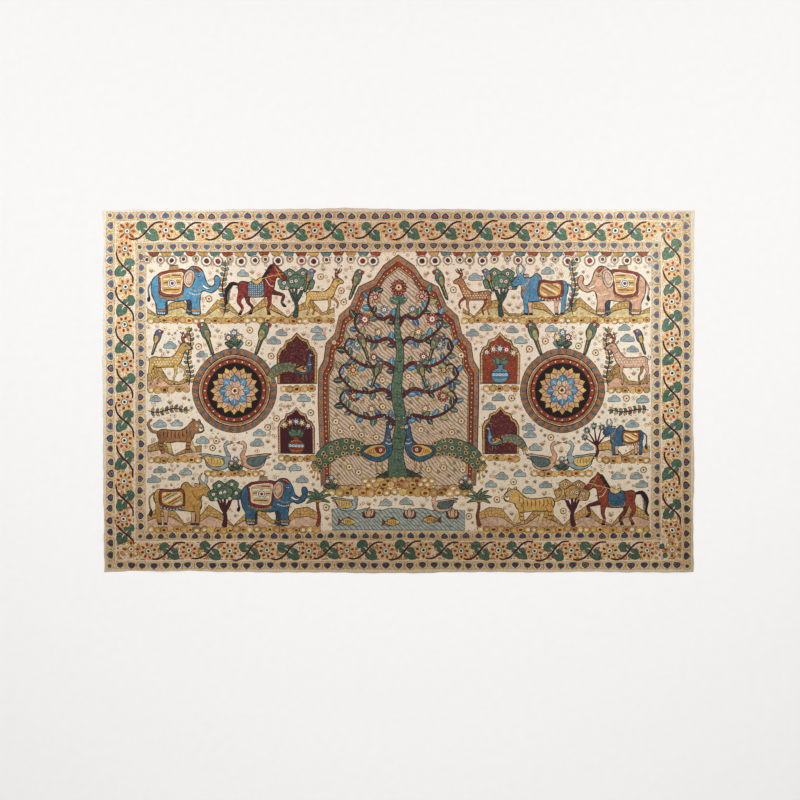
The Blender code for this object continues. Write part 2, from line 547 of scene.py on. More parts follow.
def vine(x, y, turn):
    """An S-shaped stem with two leaves, between one rosette and the next."""
    pen = Pen(x, y, hand.uniform(0.95, 1.03), turn + hand.uniform(-4, 4))
    flip = hand.random() < 0.4
    size, lean = hand.uniform(0.94, 1.06), (-34 if flip else 146) + hand.uniform(-12, 12)
    vine_leaf(pen.move(-3.0, 3.0, size, lean, flip), MITTEN)
    vine_leaf(pen.move(4.0, -4.0, hand.uniform(0.94, 1.06), -42 + hand.uniform(-12, 12)), HEART)
    pen.stroke([(-56, -22.5), (-43, -26.5), (-25, -22), (-9.5, -9.5), (0, 2), (9.5, 13), (21, 21.5),
                (32, 24.6), (46, 24)], 4.4, "wine", gap=6, ends=0.75)


print("leaf outlines of", len(MITTEN), "and", len(HEART), "points")

# %% Where the rosettes stand
TOP_ROSETTES = [-683, -574, -460, -355, -245, -139, -24.5, 83.5, 191.5, 299, 408, 522.5, 637, 737]
BOTTOM_ROSETTES = [-735, -616, -497, -387, -265, -151, -37.5, 72.5, 183.5, 292.5, 401, 507, 620, 730]
LEFT_ROSETTES = [416, 304, 195, 79, -34, -148, -265, -377]
RIGHT_ROSETTES = [357, 260, 151.5, 51, -60, -174, -291, -410]
band = [(x, 470.5) for x in TOP_ROSETTES] + [(x, -470.5) for x in BOTTOM_ROSETTES]
band += [(-803 - (416 - y) * 0.006, y) for y in LEFT_ROSETTES] + [(804, y) for y in RIGHT_ROSETTES]
stems = []
for row, y in (([-797] + TOP_ROSETTES, 470), (BOTTOM_ROSETTES, -470)):
    stems += [((a + b) / 2 + 3, y, 0) for a, b in zip(row, row[1:])]
for column, x in ((LEFT_ROSETTES + [-463], -804), ([471] + RIGHT_ROSETTES, 804)):
    stems += [(x, (a + b) / 2, -90) for a, b in zip(column, column[1:])]

for x, y, turn in stems:
    vine(x, y + hand.uniform(-1, 1), turn)
for spot in band:
    rosette(*spot, hand.choice((7, 8, 8)))
print(len(stems), "stems and", len(band), "rosettes")

# %% The four corners
def corner_flower(x, y, arms, between):
    """Four petals on the bands' lines, with pointed strokes, petals or dots between them."""
    pen = Pen(x, y)
    pen.dot(0, 0, 17, "honey", 12)
    for i in range(4):
        one = pen.move(0, 0, 1.0, 90 * i)
        one.patch([(12, -2), (19, -5.4), (26, 0), (19, 5.4), (12, 2)], arms, 1.8, "gold")
        two = pen.move(0, 0, 1.0, 90 * i + 45)
        if between == "dots":
            two.rings(19, 0, [(5.5, "gold"), (3.8, "white")], 8)
        else:
            two.patch([(11, -2.0), (22, -4.2), (31, 0), (22, 4.2), (11, 2.0)], between, 1.2, "gold")
    pen.rings(0, 0, [(11.2, "ochre"), (10.0, "teal"), (7.6, "white"), (3.8, "red")], 10)


corner_flower(-797, 469, "red", "madder")
corner_flower(795, 471, "red", "blue")
corner_flower(-787, -466, "red", "dots")
corner_flower(804, -468, "red", "dots")
small_leaf = [(0, -3), (8, -12), (20, -10), (24, 0), (18, 9), (6, 9)]
for x, y, turn in ((770, -452, -60), (776, -486, 10)):
    Pen(x, y, 0.62, turn).patch(small_leaf, "green", 1.6, "leaf")
print("corners drawn")
FIELD_STARTS = len(patches)

# %% [markdown]
# ## Flowers, leaves and small fillings
# Most of the field is made of a few small things drawn again and again: a leaf with a midrib, a
# many-petalled blossom, a star, a ringed dot, a cloud. Each is a short function of a pen, so that
# it can be set down at any place, size and turn, in other colours.

# %% Small motifs
def leaf(pen, paint="green", rib="olive", length=24.0, wide=0.30):
    """A pointed leaf from the origin along +X."""
    w = length * wide
    edge = "leaf" if paint != "leaf" else "black"
    pen.patch([(0, 0), (length * 0.25, w * 0.9), (length * 0.6, w * 0.85), (length, 0),
               (length * 0.6, -w * 0.85), (length * 0.25, -w * 0.9)], paint, 1.5, edge, gap=6)
    pen.stroke([(length * 0.08, 0), (length * 0.86, 0)], 1.3, rib, False)


def blossom(pen, petals, paint, heart):
    """A round flower 44 mm across: pointed petals, a ring of beads and a dotted heart."""
    for i in range(petals):
        one = pen.move(0, 0, 1.0, 360.0 * i / petals)
        one.patch([(5, -3.5), (14, -6.6), (23, 0), (14, 6.6), (5, 3.5)], paint, 1.3, gap=9)
        one.stroke([(11, 0), (19, 0)], 1.6, "blush", False)
    pen.rings(0, 0, [(10.5, "umber"), (9.4, heart), (6.0, "cream"), (3.8, paint), (1.7, "black")], 10)


def star(pen):
    """A black star with seven rays."""
    loop = []
    for i in range(14):
        a = math.pi * i / 7
        loop.append(around(2.6 if i % 2 else 8.6, a))
    pen.patch(loop, "black", 0, curved=False)
    pen.dot(0, 0, 2.4, "gold", 6)


def ringed(pen):
    pen.rings(0, 0, [(7.6, "gold"), (5.4, "white"), (3.0, "red")], 8)


def cloud(pen):
    pen.patch([(-20, -6), (-18, 3), (-11, 7), (-5, 13), (4, 13), (9, 6), (17, 4), (20, -6), (8, -8),
               (-8, -8)], "mist", 2.0, "grey", gap=7)
    pen.stroke([(-11, -2), (-5, 5), (2, 6), (6, 0), (12, -1)], 1.3, "teal")


def tuft(pen):
    """Seven blades of grass."""
    for i in range(7):
        a = math.radians(90 + (i - 3.0) * 17)
        reach = 30 - 3.2 * abs(i - 3.0)
        across, up = math.cos(a), math.sin(a)
        pen.patch([(2.6 * up, -2.6 * across), (reach * across * 1.2, reach * up), (-2.6 * up, 2.6 * across)],
                  ("gold", "teal", "orange")[i % 3], 0, curved=False)


print("leaf, blossom, star, ringed dot, cloud and tuft ready")

# %% Rocks, stems, lotus and pot
def rocks(pen, length, height=16.0, rows=1):
    """A bank of overlapping domes from the origin along +X, as the ground under the animals."""
    cores = ("cream", "peach", "madder", "honey", "brick", "cream", "maroon", "peach")
    for row in range(rows, -1, -1):
        count = max(2, int(length / (height * 1.25)))
        for i in range(count + (row % 2)):
            x = (i + 0.5 * (1 - row % 2)) * length / count + hand.uniform(-2, 2)
            r = height * hand.uniform(0.62, 0.84)
            y = row * height * 0.62 + hand.uniform(-1.5, 1.5)
            pen.dot(x, y, r + 1.3, "umber", 8, 0.86)
            pen.dot(x, y, r, "gold" if (i + row) % 3 else "ochre", 8, 0.86)
            pen.dot(x, y - 1, r * 0.5, cores[(i * 3 + row * 5) % len(cores)], 6, 0.75)


def leafy_stem(pen, height, paints):
    """A wavy stalk with paired leaves."""
    size = 17.0
    count = int(height / 15.0)
    stalk_points = [(5.0 * math.sin(i * 0.8), i * 15.0) for i in range(count + 1)]
    for i in range(1, count + 1):
        x, y = stalk_points[i]
        for side in (-1, 1):
            one = pen.move(x, y - 4, 1.0, 90 - side * (58 - 18 * i / count))
            paint = paints[(i + (side > 0)) % 2]
            one.patch([(0, 0), (size * 0.4, size * 0.28), (size, size * 0.14), (size * 0.75, -size * 0.24),
                       (size * 0.3, -size * 0.24)], paint, 1.3, gap=9)
    pen.stroke(stalk_points, 3.4, "wine")
    x, y = stalk_points[-1]
    pen.patch([(x - 3, y), (x, y + 15), (x + 3, y)], paints[0], 1.3)


def lotus(pen, paint="peach", back="madder"):
    """A lotus seen from the side, 60 mm wide, on the origin."""
    for a, reach in ((68, 26), (-68, 26), (50, 32), (-50, 32)):
        one = pen.move(0, 0, 1.0, 90 + a)
        one.patch([(2, -3), (reach * 0.55, -8), (reach, 0), (reach * 0.55, 8), (2, 3)], back, 1.5)
    for a, reach in ((30, 35), (-30, 35), (0, 38)):
        one = pen.move(0, 0, 1.0, 90 + a)
        one.patch([(2, -4), (reach * 0.5, -9), (reach, 0), (reach * 0.5, 9), (2, 4)], paint, 1.5)
        one.stroke([(8, 0), (reach * 0.8, 0)], 1.3, back, False)
    pen.dot(0, 1, 6, "green", 8, 0.7)


def pot(pen, body="brick", belt="sky"):
    """A round water pot with a patterned belt, 60 mm high, standing on the origin."""
    pen.patch([(-12, 0), (-24, 10), (-29, 26), (-22, 41), (-9, 47), (-9, 53), (-13, 58), (13, 58), (9, 53),
               (9, 47), (22, 41), (29, 26), (24, 10), (12, 0)], body, 2.0)
    pen.patch([(-27.5, 19), (27.5, 19), (27, 33), (-27, 33)], belt, 1.3, curved=False)
    for x in (-20, -10, 0, 10, 20):
        pen.rings(x, 26, [(4.4, "cream"), (2.3, "indigo")], 7)
    pen.beads([(-20, 12), (0, 8), (20, 12)], 6, 1.8, "gold")
    pen.beads([(-18, 41), (0, 44), (18, 41)], 6, 1.8, "gold")


print("small motifs ready")

# %% [markdown]
# ## Birds and fish
# A body is one closed outline through a dozen points, and necks, legs and tails are limbs, which
# are strokes with their own width at each point. Pattern does the rest: beads, feather lines and
# eyes on a train keep the painted surface as busy as pen work is.

# %% Peacock
def peacock(pen, body="blue", train="green"):
    """Facing +X on the origin, 185 mm tall, its train swept back and down."""
    spine = [(-40, 72), (-80, 84), (-124, 80), (-164, 56), (-196, 18)]
    pen.limb(spine, (34, 50, 58, 56, 30), train, edge=2.0)
    for side in (-1, 0, 1):
        for i in range(9):
            t = i / 8.0
            a, b = spine[min(int(t * 4), 3)], spine[min(int(t * 4), 3) + 1]
            f = t * 4 - min(int(t * 4), 3)
            x, y = a[0] + (b[0] - a[0]) * f, a[1] + (b[1] - a[1]) * f
            nx, ny = -(b[1] - a[1]), (b[0] - a[0])
            size = math.hypot(nx, ny)
            off = side * (13 + 8 * math.sin(math.pi * min(t + 0.15, 1.0)))
            shift = 6.0 if side else 0.0
            pen.rings(x + nx / size * off + shift, y + ny / size * off,
                      [(8.4, "umber"), (7.0, "ochre"), (4.4, "indigo")], 8)
    for end in ((-206, 26), (-208, 8), (-200, -8), (-186, -14)):
        pen.stroke([(-186, 20), ((end[0] - 186) / 2 - 1, (end[1] + 20) / 2 + 2), end], 2.4, "gold")
        pen.rings(*end, [(5.4, "umber"), (4.4, "ochre"), (2.4, "indigo")], 8)
    pen.limb([(0, 44), (-4, 22), (2, 4)], (7, 4, 4), "ochre")
    pen.limb([(14, 44), (14, 22), (20, 4)], (7, 4, 4), "ochre")
    for x in (2, 20):
        pen.stroke([(x - 8, 0), (x, 4), (x + 12, 0)], 2.6, "umber")
    pen.patch([(38, 160), (46, 156), (50, 149), (46, 141), (40, 134), (40, 120), (44, 104), (46, 84),
               (40, 62), (26, 48), (6, 40), (-18, 42), (-38, 54), (-50, 72), (-38, 86), (-14, 92), (6, 94),
               (18, 104), (24, 122), (27, 140), (30, 154)], body, 2.2)
    pen.patch([(49, 153), (65, 147), (49, 144)], "gold", 1.3, curved=False)
    for tip in ((22, 180), (31, 185), (41, 184), (49, 178)):
        pen.stroke([(38, 158), tip], 1.6, "umber", False)
        pen.rings(*tip, [(4.4, "umber"), (3.2, "sky"), (1.5, "cream")], 7)
    pen.rings(41, 149, [(4.6, "white"), (2.3, "black")], 8)
    pen.patch([(22, 88), (6, 92), (-16, 90), (-42, 74), (-30, 62), (-6, 54), (14, 58), (26, 72)], "ochre",
              1.8)
    pen.patch([(20, 84), (6, 87), (-8, 82), (-2, 68), (14, 66), (22, 74)], "madder", 1.2)
    for k in range(4):
        pen.stroke([(-8 - k * 6, 84 - k * 3), (-14 - k * 6, 74 - k * 2), (-8 - k * 6, 62 + k)], 1.5, "brick")
    pen.rings(9, 76, [(5.0, "cream"), (2.6, "indigo")], 8)
    pen.beads([(28, 112), (34, 108), (42, 110)], 4.6, 1.9, "ochre")
    pen.beads([(24, 100), (34, 95), (44, 98)], 4.6, 1.9, "cream")


print("peacock ready")

# %% Swan, parrot and fish
def swan(pen, body="cream", wing="ochre"):
    """Facing +X, sitting on the origin, 95 mm tall."""
    pen.patch([(-62, 46), (-48, 40), (-58, 34), (-44, 30), (-36, 10), (-16, -2), (8, -3), (28, 6), (36, 22),
               (26, 36), (4, 42), (-20, 44), (-40, 48)], body, 1.9)
    pen.limb([(20, 24), (32, 42), (24, 60), (22, 76), (33, 86)], (24, 15, 10, 9, 13), body, edge=1.6)
    pen.patch([(38, 90), (53, 84), (39, 80)], "orange", 1.2, curved=False)
    pen.rings(34, 87, [(3.2, "white"), (1.7, "black")], 7)
    pen.patch([(-46, 40), (-18, 38), (10, 34), (18, 20), (4, 8), (-22, 8), (-36, 20)], wing, 1.6)
    for k in range(5):
        x = -34 + k * 9
        pen.stroke([(x, 34), (x + 4, 24), (x, 15)], 1.5, "brick" if k % 2 else "teal")
    pen.beads([(28, 44), (34, 41), (40, 42)], 4.2, 1.6, "red")
    pen.beads([(-20, 2), (0, 0), (20, 6)], 6.5, 1.4, "grey")


def parrot(pen, body="green", wing="olive"):
    """Perched upright at the origin, facing +X, 60 mm above its perch and a long tail below."""
    pen.patch([(-8, 10), (-17, -18), (-24, -46), (-15, -44), (-6, -20), (3, 6)], "leaf", 1.4)
    pen.stroke([(-6, 4), (-13, -18), (-19, -38)], 1.6, "ochre")
    pen.patch([(-12, 4), (-14, 22), (-8, 38), (-1, 48), (9, 53), (18, 47), (18, 36), (16, 22), (10, 8),
               (0, 0)], body, 1.7)
    pen.patch([(16, 49), (26, 45), (21, 35), (16, 40)], "red", 1.2)
    pen.rings(11, 45, [(3.4, "cream"), (1.7, "black")], 7)
    pen.patch([(-10, 27), (-2, 31), (6, 22), (2, 6), (-8, -6), (-12, 8)], wing, 1.4)
    for k in range(3):
        pen.stroke([(-8 + k * 4, 22 - k), (-8 + k * 3, 10)], 1.4, "leaf", False)
    pen.stroke([(-5, 39), (4, 35), (16, 36)], 2.2, "red")


def fish(pen, body, fin="brick"):
    """Swimming along +X, 70 mm long."""
    pen.patch([(-24, 0), (-38, 13), (-34, 1), (-39, -12)], fin, 1.4)
    pen.patch([(-6, 11), (4, 19), (12, 11)], fin, 1.2)
    pen.patch([(-27, 0), (-12, 11), (8, 13), (24, 6), (30, 0), (24, -6), (8, -12), (-12, -10)], body, 1.7)
    for k in range(5):
        pen.stroke([(-18 + k * 7, 7), (-15 + k * 7, 0), (-18 + k * 7, -7)], 1.4, "umber")
    pen.rings(22, 1.5, [(3.4, "white"), (1.7, "black")], 7)


print("birds and fish ready")

# %% [markdown]
# ## Animals
# Four-footed animals are built in the order a painter fills them: the far legs first, the body
# over them, then harness, cloths and beads. Their cloths carry stripes, dots and bands.

# %% Eyes and the elephant
def eye_mark(pen, x, y, size=1.0):
    pen.patch([(x - 7 * size, y), (x, y + 4 * size), (x + 7 * size, y), (x, y - 4 * size)], "white",
              1.5, "black")
    pen.dot(x, y, 2.4 * size, "black", 7)


def elephant(pen, skin="sky", rug="brick", lining="ochre", ear="peach"):
    """Facing +X with a raised trunk, 165 mm tall and 235 mm long."""
    for x in (-50, 36):
        pen.limb([(x, 60), (x + 4, 30), (x + 2, 4)], (26, 22, 25), "indigo")
        pen.beads([(x - 9, 14), (x + 3, 11), (x + 13, 14)], 5.5, 2.0, "gold")
    pen.limb([(-90, 112), (-101, 92), (-99, 66)], (6, 4, 5), skin)
    pen.patch([(-97, 68), (-106, 52), (-99, 44), (-93, 54)], "black", 0)
    pen.patch([(-92, 96), (-88, 120), (-70, 138), (-40, 147), (0, 150), (26, 150), (42, 161), (60, 161),
               (76, 149), (85, 130), (92, 110), (102, 98), (113, 97), (119, 106), (117, 120), (121, 131),
               (131, 130), (137, 116), (134, 96), (122, 81), (104, 74), (88, 80), (78, 76), (73, 62),
               (71, 40), (73, 4), (45, 4), (44, 36), (34, 49), (0, 45), (-32, 49), (-43, 36), (-43, 4),
               (-72, 4), (-75, 38), (-88, 66)], skin, 2.3)
    for x in (-57, 59):
        pen.patch([(x - 14, 12), (x + 14, 12), (x + 14, 19), (x - 14, 19)], "gold", 1.2, curved=False)
        pen.beads([(x - 12, 15.5), (x + 12, 15.5)], 5.4, 1.8, "madder", curved=False)
        for k in (-9, -3, 3, 9):
            pen.dot(x + k, 5.5, 2.4, "cream", 6, 0.8)
    for k in range(6):
        top = (96 + k * 5.0, 103 - 5 * math.sin(k * 0.7))
        pen.stroke([top, (100 + k * 5.2, 82 + k * 1.5)], 1.4, "indigo", False)
    cover = [(-68, 140), (-66, 104), (-62, 70), (-24, 60), (12, 66), (18, 106), (22, 149), (-24, 150)]
    pen.patch(cover, rug, 2.0)
    pen.patch([(x * 0.80 - 4, 106 + (y - 106) * 0.76) for x, y in cover], lining, 1.6, "cream")
    pen.stripes([(x * 0.70 - 6, 106 + (y - 106) * 0.62) for x, y in cover], 12.0, 3.0, (rug, "cream"))
    pen.rings(-22, 106, [(17, "umber"), (15.6, "cream"), (12.5, "teal"), (9.0, "cream"), (6.0, "red"),
                         (2.2, "black")], 12)
    for k in range(9):
        y = 63 - 9 * math.sin(math.pi * k / 8.0)
        pen.rings(-62 + k * 9.0, y, [(5.2, "umber"), (4.2, "gold"), (2.0, "madder")], 8)
    pen.beads([(-66, 128), (-24, 139), (20, 134)], 6.4, 1.9, "cream")
    pen.patch([(36, 152), (22, 142), (15, 122), (20, 102), (33, 90), (45, 98), (53, 118), (52, 142)], ear,
              1.9)
    pen.patch([(36, 143), (26, 134), (22, 119), (26, 106), (34, 100), (41, 108), (46, 120), (45, 136)],
              "blush", 1.2, "madder")
    pen.beads([(30, 96), (21, 108), (21, 130), (33, 147)], 6.6, 1.7, "cream")
    pen.patch([(46, 160), (62, 160), (72, 149), (66, 140), (56, 146)], rug, 1.4)
    pen.beads([(50, 157), (62, 155), (70, 147)], 5.0, 1.8, "ochre")
    eye_mark(pen, 66, 130)
    pen.limb([(82, 96), (96, 88), (108, 91)], (8, 6, 2), "white", edge=1.5)
    pen.beads([(76, 82), (56, 78), (38, 88)], 6.2, 2.2, "gold")
    pen.beads([(74, 70), (54, 66), (32, 74)], 6.2, 2.0, "cream")
    pen.patch([(-34, 150), (-30, 166), (-4, 166), (0, 150)], lining, 1.6, curved=False)
    pen.stripes([(-33, 151), (-30, 165), (-5, 165), (-1, 151)], 4.6, 1.8, (rug, "blue"))


print("elephant ready")

# %% Horse
def horse(pen, coat="madder", saddle="ochre", cloth_paint="blue dots"):
    """Facing +X with one foreleg raised, 170 mm tall."""
    pen.limb([(-34, 70), (-30, 42), (-16, 24), (-22, 4)], (22, 11, 8, 9), "maroon")
    pen.limb([(44, 76), (66, 70), (86, 62), (80, 40), (88, 30)], (20, 12, 10, 8, 9), "maroon")
    pen.limb([(-62, 100), (-84, 102), (-99, 78), (-97, 48), (-106, 30)], (7, 13, 16, 11, 3), "black",
             edge=1.0)
    for k in range(4):
        pen.stroke([(-80 - k * 3, 96 - k * 6), (-96 + k * 2, 70 - k * 6), (-95, 46 - k * 3)], 1.3, "grey")
    pen.patch([(-64, 98), (-52, 111), (-22, 107), (8, 107), (26, 118), (38, 138), (48, 156), (57, 170),
               (62, 160), (72, 152), (88, 134), (97, 123), (95, 114), (84, 112), (74, 120), (64, 121),
               (59, 108), (57, 90), (50, 72), (36, 60), (8, 57), (-22, 58), (-46, 60), (-60, 74)], coat, 2.2)
    pen.limb([(-50, 76), (-60, 46), (-48, 24), (-56, 4)], (25, 13, 8, 9), coat)
    pen.limb([(38, 70), (40, 40), (34, 22), (38, 4)], (20, 11, 8, 9), coat)
    for x, y in ((-56, 3), (-22, 3), (38, 3), (89, 28)):
        pen.patch([(x - 6, y - 3), (x + 7, y - 3), (x + 5, y + 4), (x - 5, y + 4)], "black", 0, curved=False)
    for k in range(8):
        pen.limb([(54 - k * 4.6, 162 - k * 7.6), (44 - k * 4.8, 160 - k * 7.6),
                  (36 - k * 4.4, 152 - k * 7.4)], (6, 6, 2), "black" if k % 2 else "umber", edge=1.0)
    blanket = [(-26, 109), (-32, 78), (-26, 60), (12, 58), (24, 76), (20, 112), (-2, 108)]
    pen.patch(blanket, cloth_paint, 1.8)
    pen.patch([(-16, 110), (-14, 120), (-2, 114), (14, 124), (18, 110), (0, 100)], saddle, 1.6)
    pen.beads([(-30, 74), (-26, 63), (12, 61), (23, 76)], 5.8, 2.1, "gold")
    pen.stroke([(60, 158), (68, 140), (80, 118)], 2.2, "gold")
    pen.stroke([(58, 124), (72, 132), (88, 134)], 2.0, "gold")
    pen.beads([(34, 130), (46, 112), (58, 108)], 5.6, 2.1, "gold")
    pen.beads([(28, 118), (42, 96), (56, 92)], 5.6, 1.9, "cream")
    pen.stroke([(72, 132), (40, 124), (14, 116)], 1.8, "ochre")
    eye_mark(pen, 72, 142, 0.8)
    for x, y in ((-50, 18), (-20, 17), (36, 18), (84, 42)):
        pen.beads([(x - 5, y), (x + 5, y)], 4.0, 1.8, "gold", curved=False)


print("horse ready")

# %% Deer
def deer(pen, coat="ochre", back_leg="gold"):
    """Facing +X, 180 mm to its antlers."""
    pen.limb([(-36, 66), (-34, 42), (-24, 24), (-28, 2)], (16, 8, 5, 5), back_leg)
    pen.limb([(40, 68), (58, 56), (66, 40), (60, 26)], (13, 8, 6, 5), back_leg)
    pen.patch([(-56, 84), (-66, 94), (-62, 80)], "cream", 1.4)
    pen.patch([(-56, 82), (-42, 92), (-12, 88), (16, 90), (33, 104), (43, 122), (51, 135), (62, 140),
               (72, 136), (86, 125), (83, 118), (69, 116), (61, 106), (55, 88), (46, 70), (30, 58), (0, 56),
               (-30, 56), (-50, 64)], coat, 2.0)
    pen.limb([(-46, 68), (-54, 42), (-44, 24), (-50, 2)], (19, 9, 5, 5), coat)
    pen.limb([(32, 64), (34, 36), (28, 20), (30, 2)], (14, 8, 5, 5), coat)
    for x in (-50, -28, 30):
        pen.dot(x, 1.5, 3.4, "black", 6, 0.7)
    pen.patch([(52, 136), (40, 146), (46, 134)], "blush", 1.4)
    for reach, lean in ((0, 0), (7, 5)):
        pen.limb([(57 + reach, 138), (52 + reach, 156), (60 + reach + lean, 176)], (5, 4, 2), "brick",
                 edge=1.0)
        pen.limb([(53 + reach, 154), (66 + reach, 162), (70 + reach, 172)], (3.5, 3, 2), "brick", edge=1.0)
        pen.limb([(55 + reach, 166), (46 + reach, 174)], (3, 2), "brick", edge=1.0)
    eye_mark(pen, 65, 128, 0.75)
    pen.speckles([(-48, 66), (-46, 84), (-12, 84), (18, 86), (36, 100), (48, 112), (50, 88), (40, 70),
                  (0, 60)], 10.0, 2.2, ("cream",), 6)
    pen.beads([(42, 110), (50, 104), (58, 104)], 4.4, 1.9, "red")
    pen.dot(84, 121, 2.4, "black", 6)


print("deer ready")

# %% Bull
def bull(pen, coat="blush", rug="brick", trim="sky"):
    """Facing +X with a hump, 165 mm to its horns."""
    for x in (-48, 36):
        pen.limb([(x, 62), (x + 4, 32), (x + 2, 5)], (22, 13, 12), "peach")
    pen.limb([(-80, 100), (-94, 84), (-92, 50)], (5, 4, 4), coat)
    pen.patch([(-90, 52), (-98, 32), (-90, 24), (-84, 38)], "umber", 0)
    pen.patch([(-80, 94), (-68, 110), (-32, 108), (-2, 108), (8, 126), (22, 134), (34, 122), (44, 118),
               (56, 124), (66, 133), (80, 128), (93, 112), (100, 99), (94, 90), (82, 90), (72, 96), (66, 84),
               (68, 62), (58, 46), (40, 42), (0, 46), (-40, 48), (-68, 58), (-80, 76)], coat, 2.2)
    pen.limb([(-62, 68), (-68, 36), (-64, 5)], (27, 15, 13), coat)
    pen.limb([(52, 60), (54, 32), (52, 5)], (22, 13, 12), coat)
    for x in (-64, -46, 38, 52):
        pen.patch([(x - 7, 0), (x + 7, 0), (x + 6, 8), (x - 6, 8)], "umber", 0, curved=False)
    pen.limb([(68, 130), (60, 146), (70, 162)], (9, 7, 2), "mist", edge=1.5)
    pen.limb([(78, 128), (84, 144), (78, 160)], (9, 7, 2), "mist", edge=1.5)
    pen.patch([(62, 126), (48, 130), (46, 122), (58, 118)], "peach", 1.4)
    cover = [(-60, 108), (-66, 84), (-58, 58), (-16, 50), (10, 58), (16, 86), (8, 112), (-26, 109)]
    pen.patch(cover, rug, 1.9)
    pen.patch([(x * 0.84 - 3, 82 + (y - 82) * 0.74) for x, y in cover], "ochre", 1.3)
    pen.stripes([(x * 0.76 - 5, 82 + (y - 82) * 0.62) for x, y in cover], 7.5, 3.0,
                ("cream", trim, "brick"), 30)
    for k in range(8):
        y = 55 - 7 * math.sin(math.pi * k / 7.0)
        pen.rings(-58 + k * 9.4, y, [(4.8, "umber"), (3.8, trim), (1.8, "cream")], 7)
    eye_mark(pen, 78, 115, 0.85)
    pen.dot(95, 97, 2.2, "black", 6)
    pen.beads([(44, 114), (54, 96), (70, 90)], 6.2, 2.6, "gold")
    pen.beads([(38, 108), (50, 84), (66, 76)], 6.2, 2.2, "madder")
    pen.rings(60, 84, [(5.6, "umber"), (4.6, "gold"), (1.8, "black")], 8)
    for k in range(3):
        pen.stroke([(66 - k * 4, 80 - k * 5), (60 - k * 5, 66 - k * 4), (50 - k * 5, 58 - k * 2)], 1.3,
                   "orange")
    pen.stroke([(22, 132), (18, 122), (24, 114)], 1.5, "orange")


print("bull ready")

# %% Tiger
def tiger(pen, coat="orange", mark="wine"):
    """Facing +X, walking, 120 mm tall."""
    pen.limb([(-34, 60), (-30, 36), (-22, 8)], (20, 14, 13), "honey")
    pen.limb([(34, 60), (46, 34), (58, 12)], (18, 14, 13), "honey")
    pen.limb([(-66, 78), (-88, 84), (-100, 108), (-88, 124)], (10, 9, 8, 6), coat, edge=1.6)
    pen.patch([(-70, 74), (-58, 88), (-24, 86), (10, 86), (30, 96), (46, 112), (62, 116), (80, 108),
               (90, 94), (88, 80), (74, 74), (58, 70), (50, 54), (30, 44), (0, 46), (-30, 44), (-56, 48),
               (-68, 60)], coat, 2.1)
    pen.limb([(-52, 62), (-58, 36), (-48, 8)], (24, 15, 14), coat)
    pen.limb([(38, 60), (36, 34), (34, 8)], (19, 14, 14), coat)
    for x, y, tall in ((-58, 76, 18), (-46, 78, 22), (-33, 77, 22), (-20, 76, 22), (-7, 76, 22),
                       (6, 76, 22), (19, 78, 24), (32, 84, 24), (44, 92, 24)):
        pen.limb([(x, y + 8), (x - 3, y - tall * 0.3), (x + 1, y - tall)], (2, 5, 2), mark, None)
    for x in (-55, 35):
        for y in (20, 32, 44):
            pen.stroke([(x - 8, y), (x, y - 3), (x + 7, y)], 2.8, mark)
    pen.patch([(52, 114), (50, 124), (60, 119)], coat, 1.6)
    pen.patch([(70, 113), (74, 122), (80, 110)], coat, 1.6)
    pen.rings(66, 99, [(5.2, "umber"), (4.2, "white"), (2.2, "black")], 8)
    pen.rings(80, 98, [(5.2, "umber"), (4.2, "white"), (2.2, "black")], 8)
    pen.patch([(72, 90), (80, 92), (88, 89), (84, 80), (74, 80)], "cream", 1.4)
    pen.dot(81, 90, 3.0, "maroon", 7)
    pen.beads([(36, 92), (46, 78), (54, 68)], 5.6, 2.2, "sky")


print("tiger ready")

# %% [markdown]
# ## Trees, medallion and pond
# The plants carry the layout. A tree of life fills the middle, because its curling branches can
# hold many small birds and blossoms, and smaller trees part the animals. Two lotus medallions
# with a toothed ring stand in the wings.

# %% Small trees and a palm
def small_tree(pen, crown="green scales", trunk="leaf", bloom="red"):
    """A round-crowned tree, 150 mm tall, on the origin."""
    for x, y in ((-34, 104), (34, 106), (0, 126), (-16, 92), (20, 90)):
        pen.limb([(0, 40), (x * 0.4, 62), (x * 0.8, y - 8)], (9, 7, 4), trunk)
    for x, y, r in ((-32, 98, 23), (34, 100, 23), (-18, 124, 21), (22, 126, 21), (1, 104, 25)):
        edge = []
        for k in range(16):
            a = 2 * math.pi * k / 16
            bumpy = r + 2.2 * math.sin(a * 5.0)
            edge.append((x + bumpy * math.cos(a), y + bumpy * 0.88 * math.sin(a)))
        pen.patch(edge, crown, 1.8, gap=12)
    pen.limb([(-2, -2), (3, 26), (-2, 52), (1, 84)], (17, 12, 10, 6), trunk)
    for x, y in ((-36, 100), (36, 102), (-18, 128), (22, 130), (0, 106), (-14, 104), (16, 84), (-28, 84)):
        pen.rings(x, y, [(6.6, "black"), (5.2, "white"), (3.0, bloom)], 8)


def branch_tree(pen, trunk="wine", petals="sky", fruit="gold"):
    """A leaning tree with bare branches that end in clusters of leaves and fruit, 150 mm tall."""
    tips = ((-46, 96), (-22, 126), (14, 132), (44, 112), (54, 82))
    for x, y in tips:
        for k in range(7):
            a = 2 * math.pi * k / 7 + x
            one = pen.move(x, y, 1.0, math.degrees(a))
            paint = (petals, "green", fruit)[k % 3]
            one.patch([(3, -2), (10, -5), (17, 0), (10, 5), (3, 2)], paint, 1.3, gap=9)
        pen.rings(x, y, [(5.6, "umber"), (4.4, "cream"), (2.2, "red")], 8)
        pen.limb([(0, 44), (x * 0.45, 40 + (y - 40) * 0.5), (x * 0.86, y - 6)], (8, 6, 3), trunk, "black",
                 1.0)
    pen.limb([(6, -2), (-4, 22), (1, 50)], (14, 10, 9), trunk, "black", 1.0)


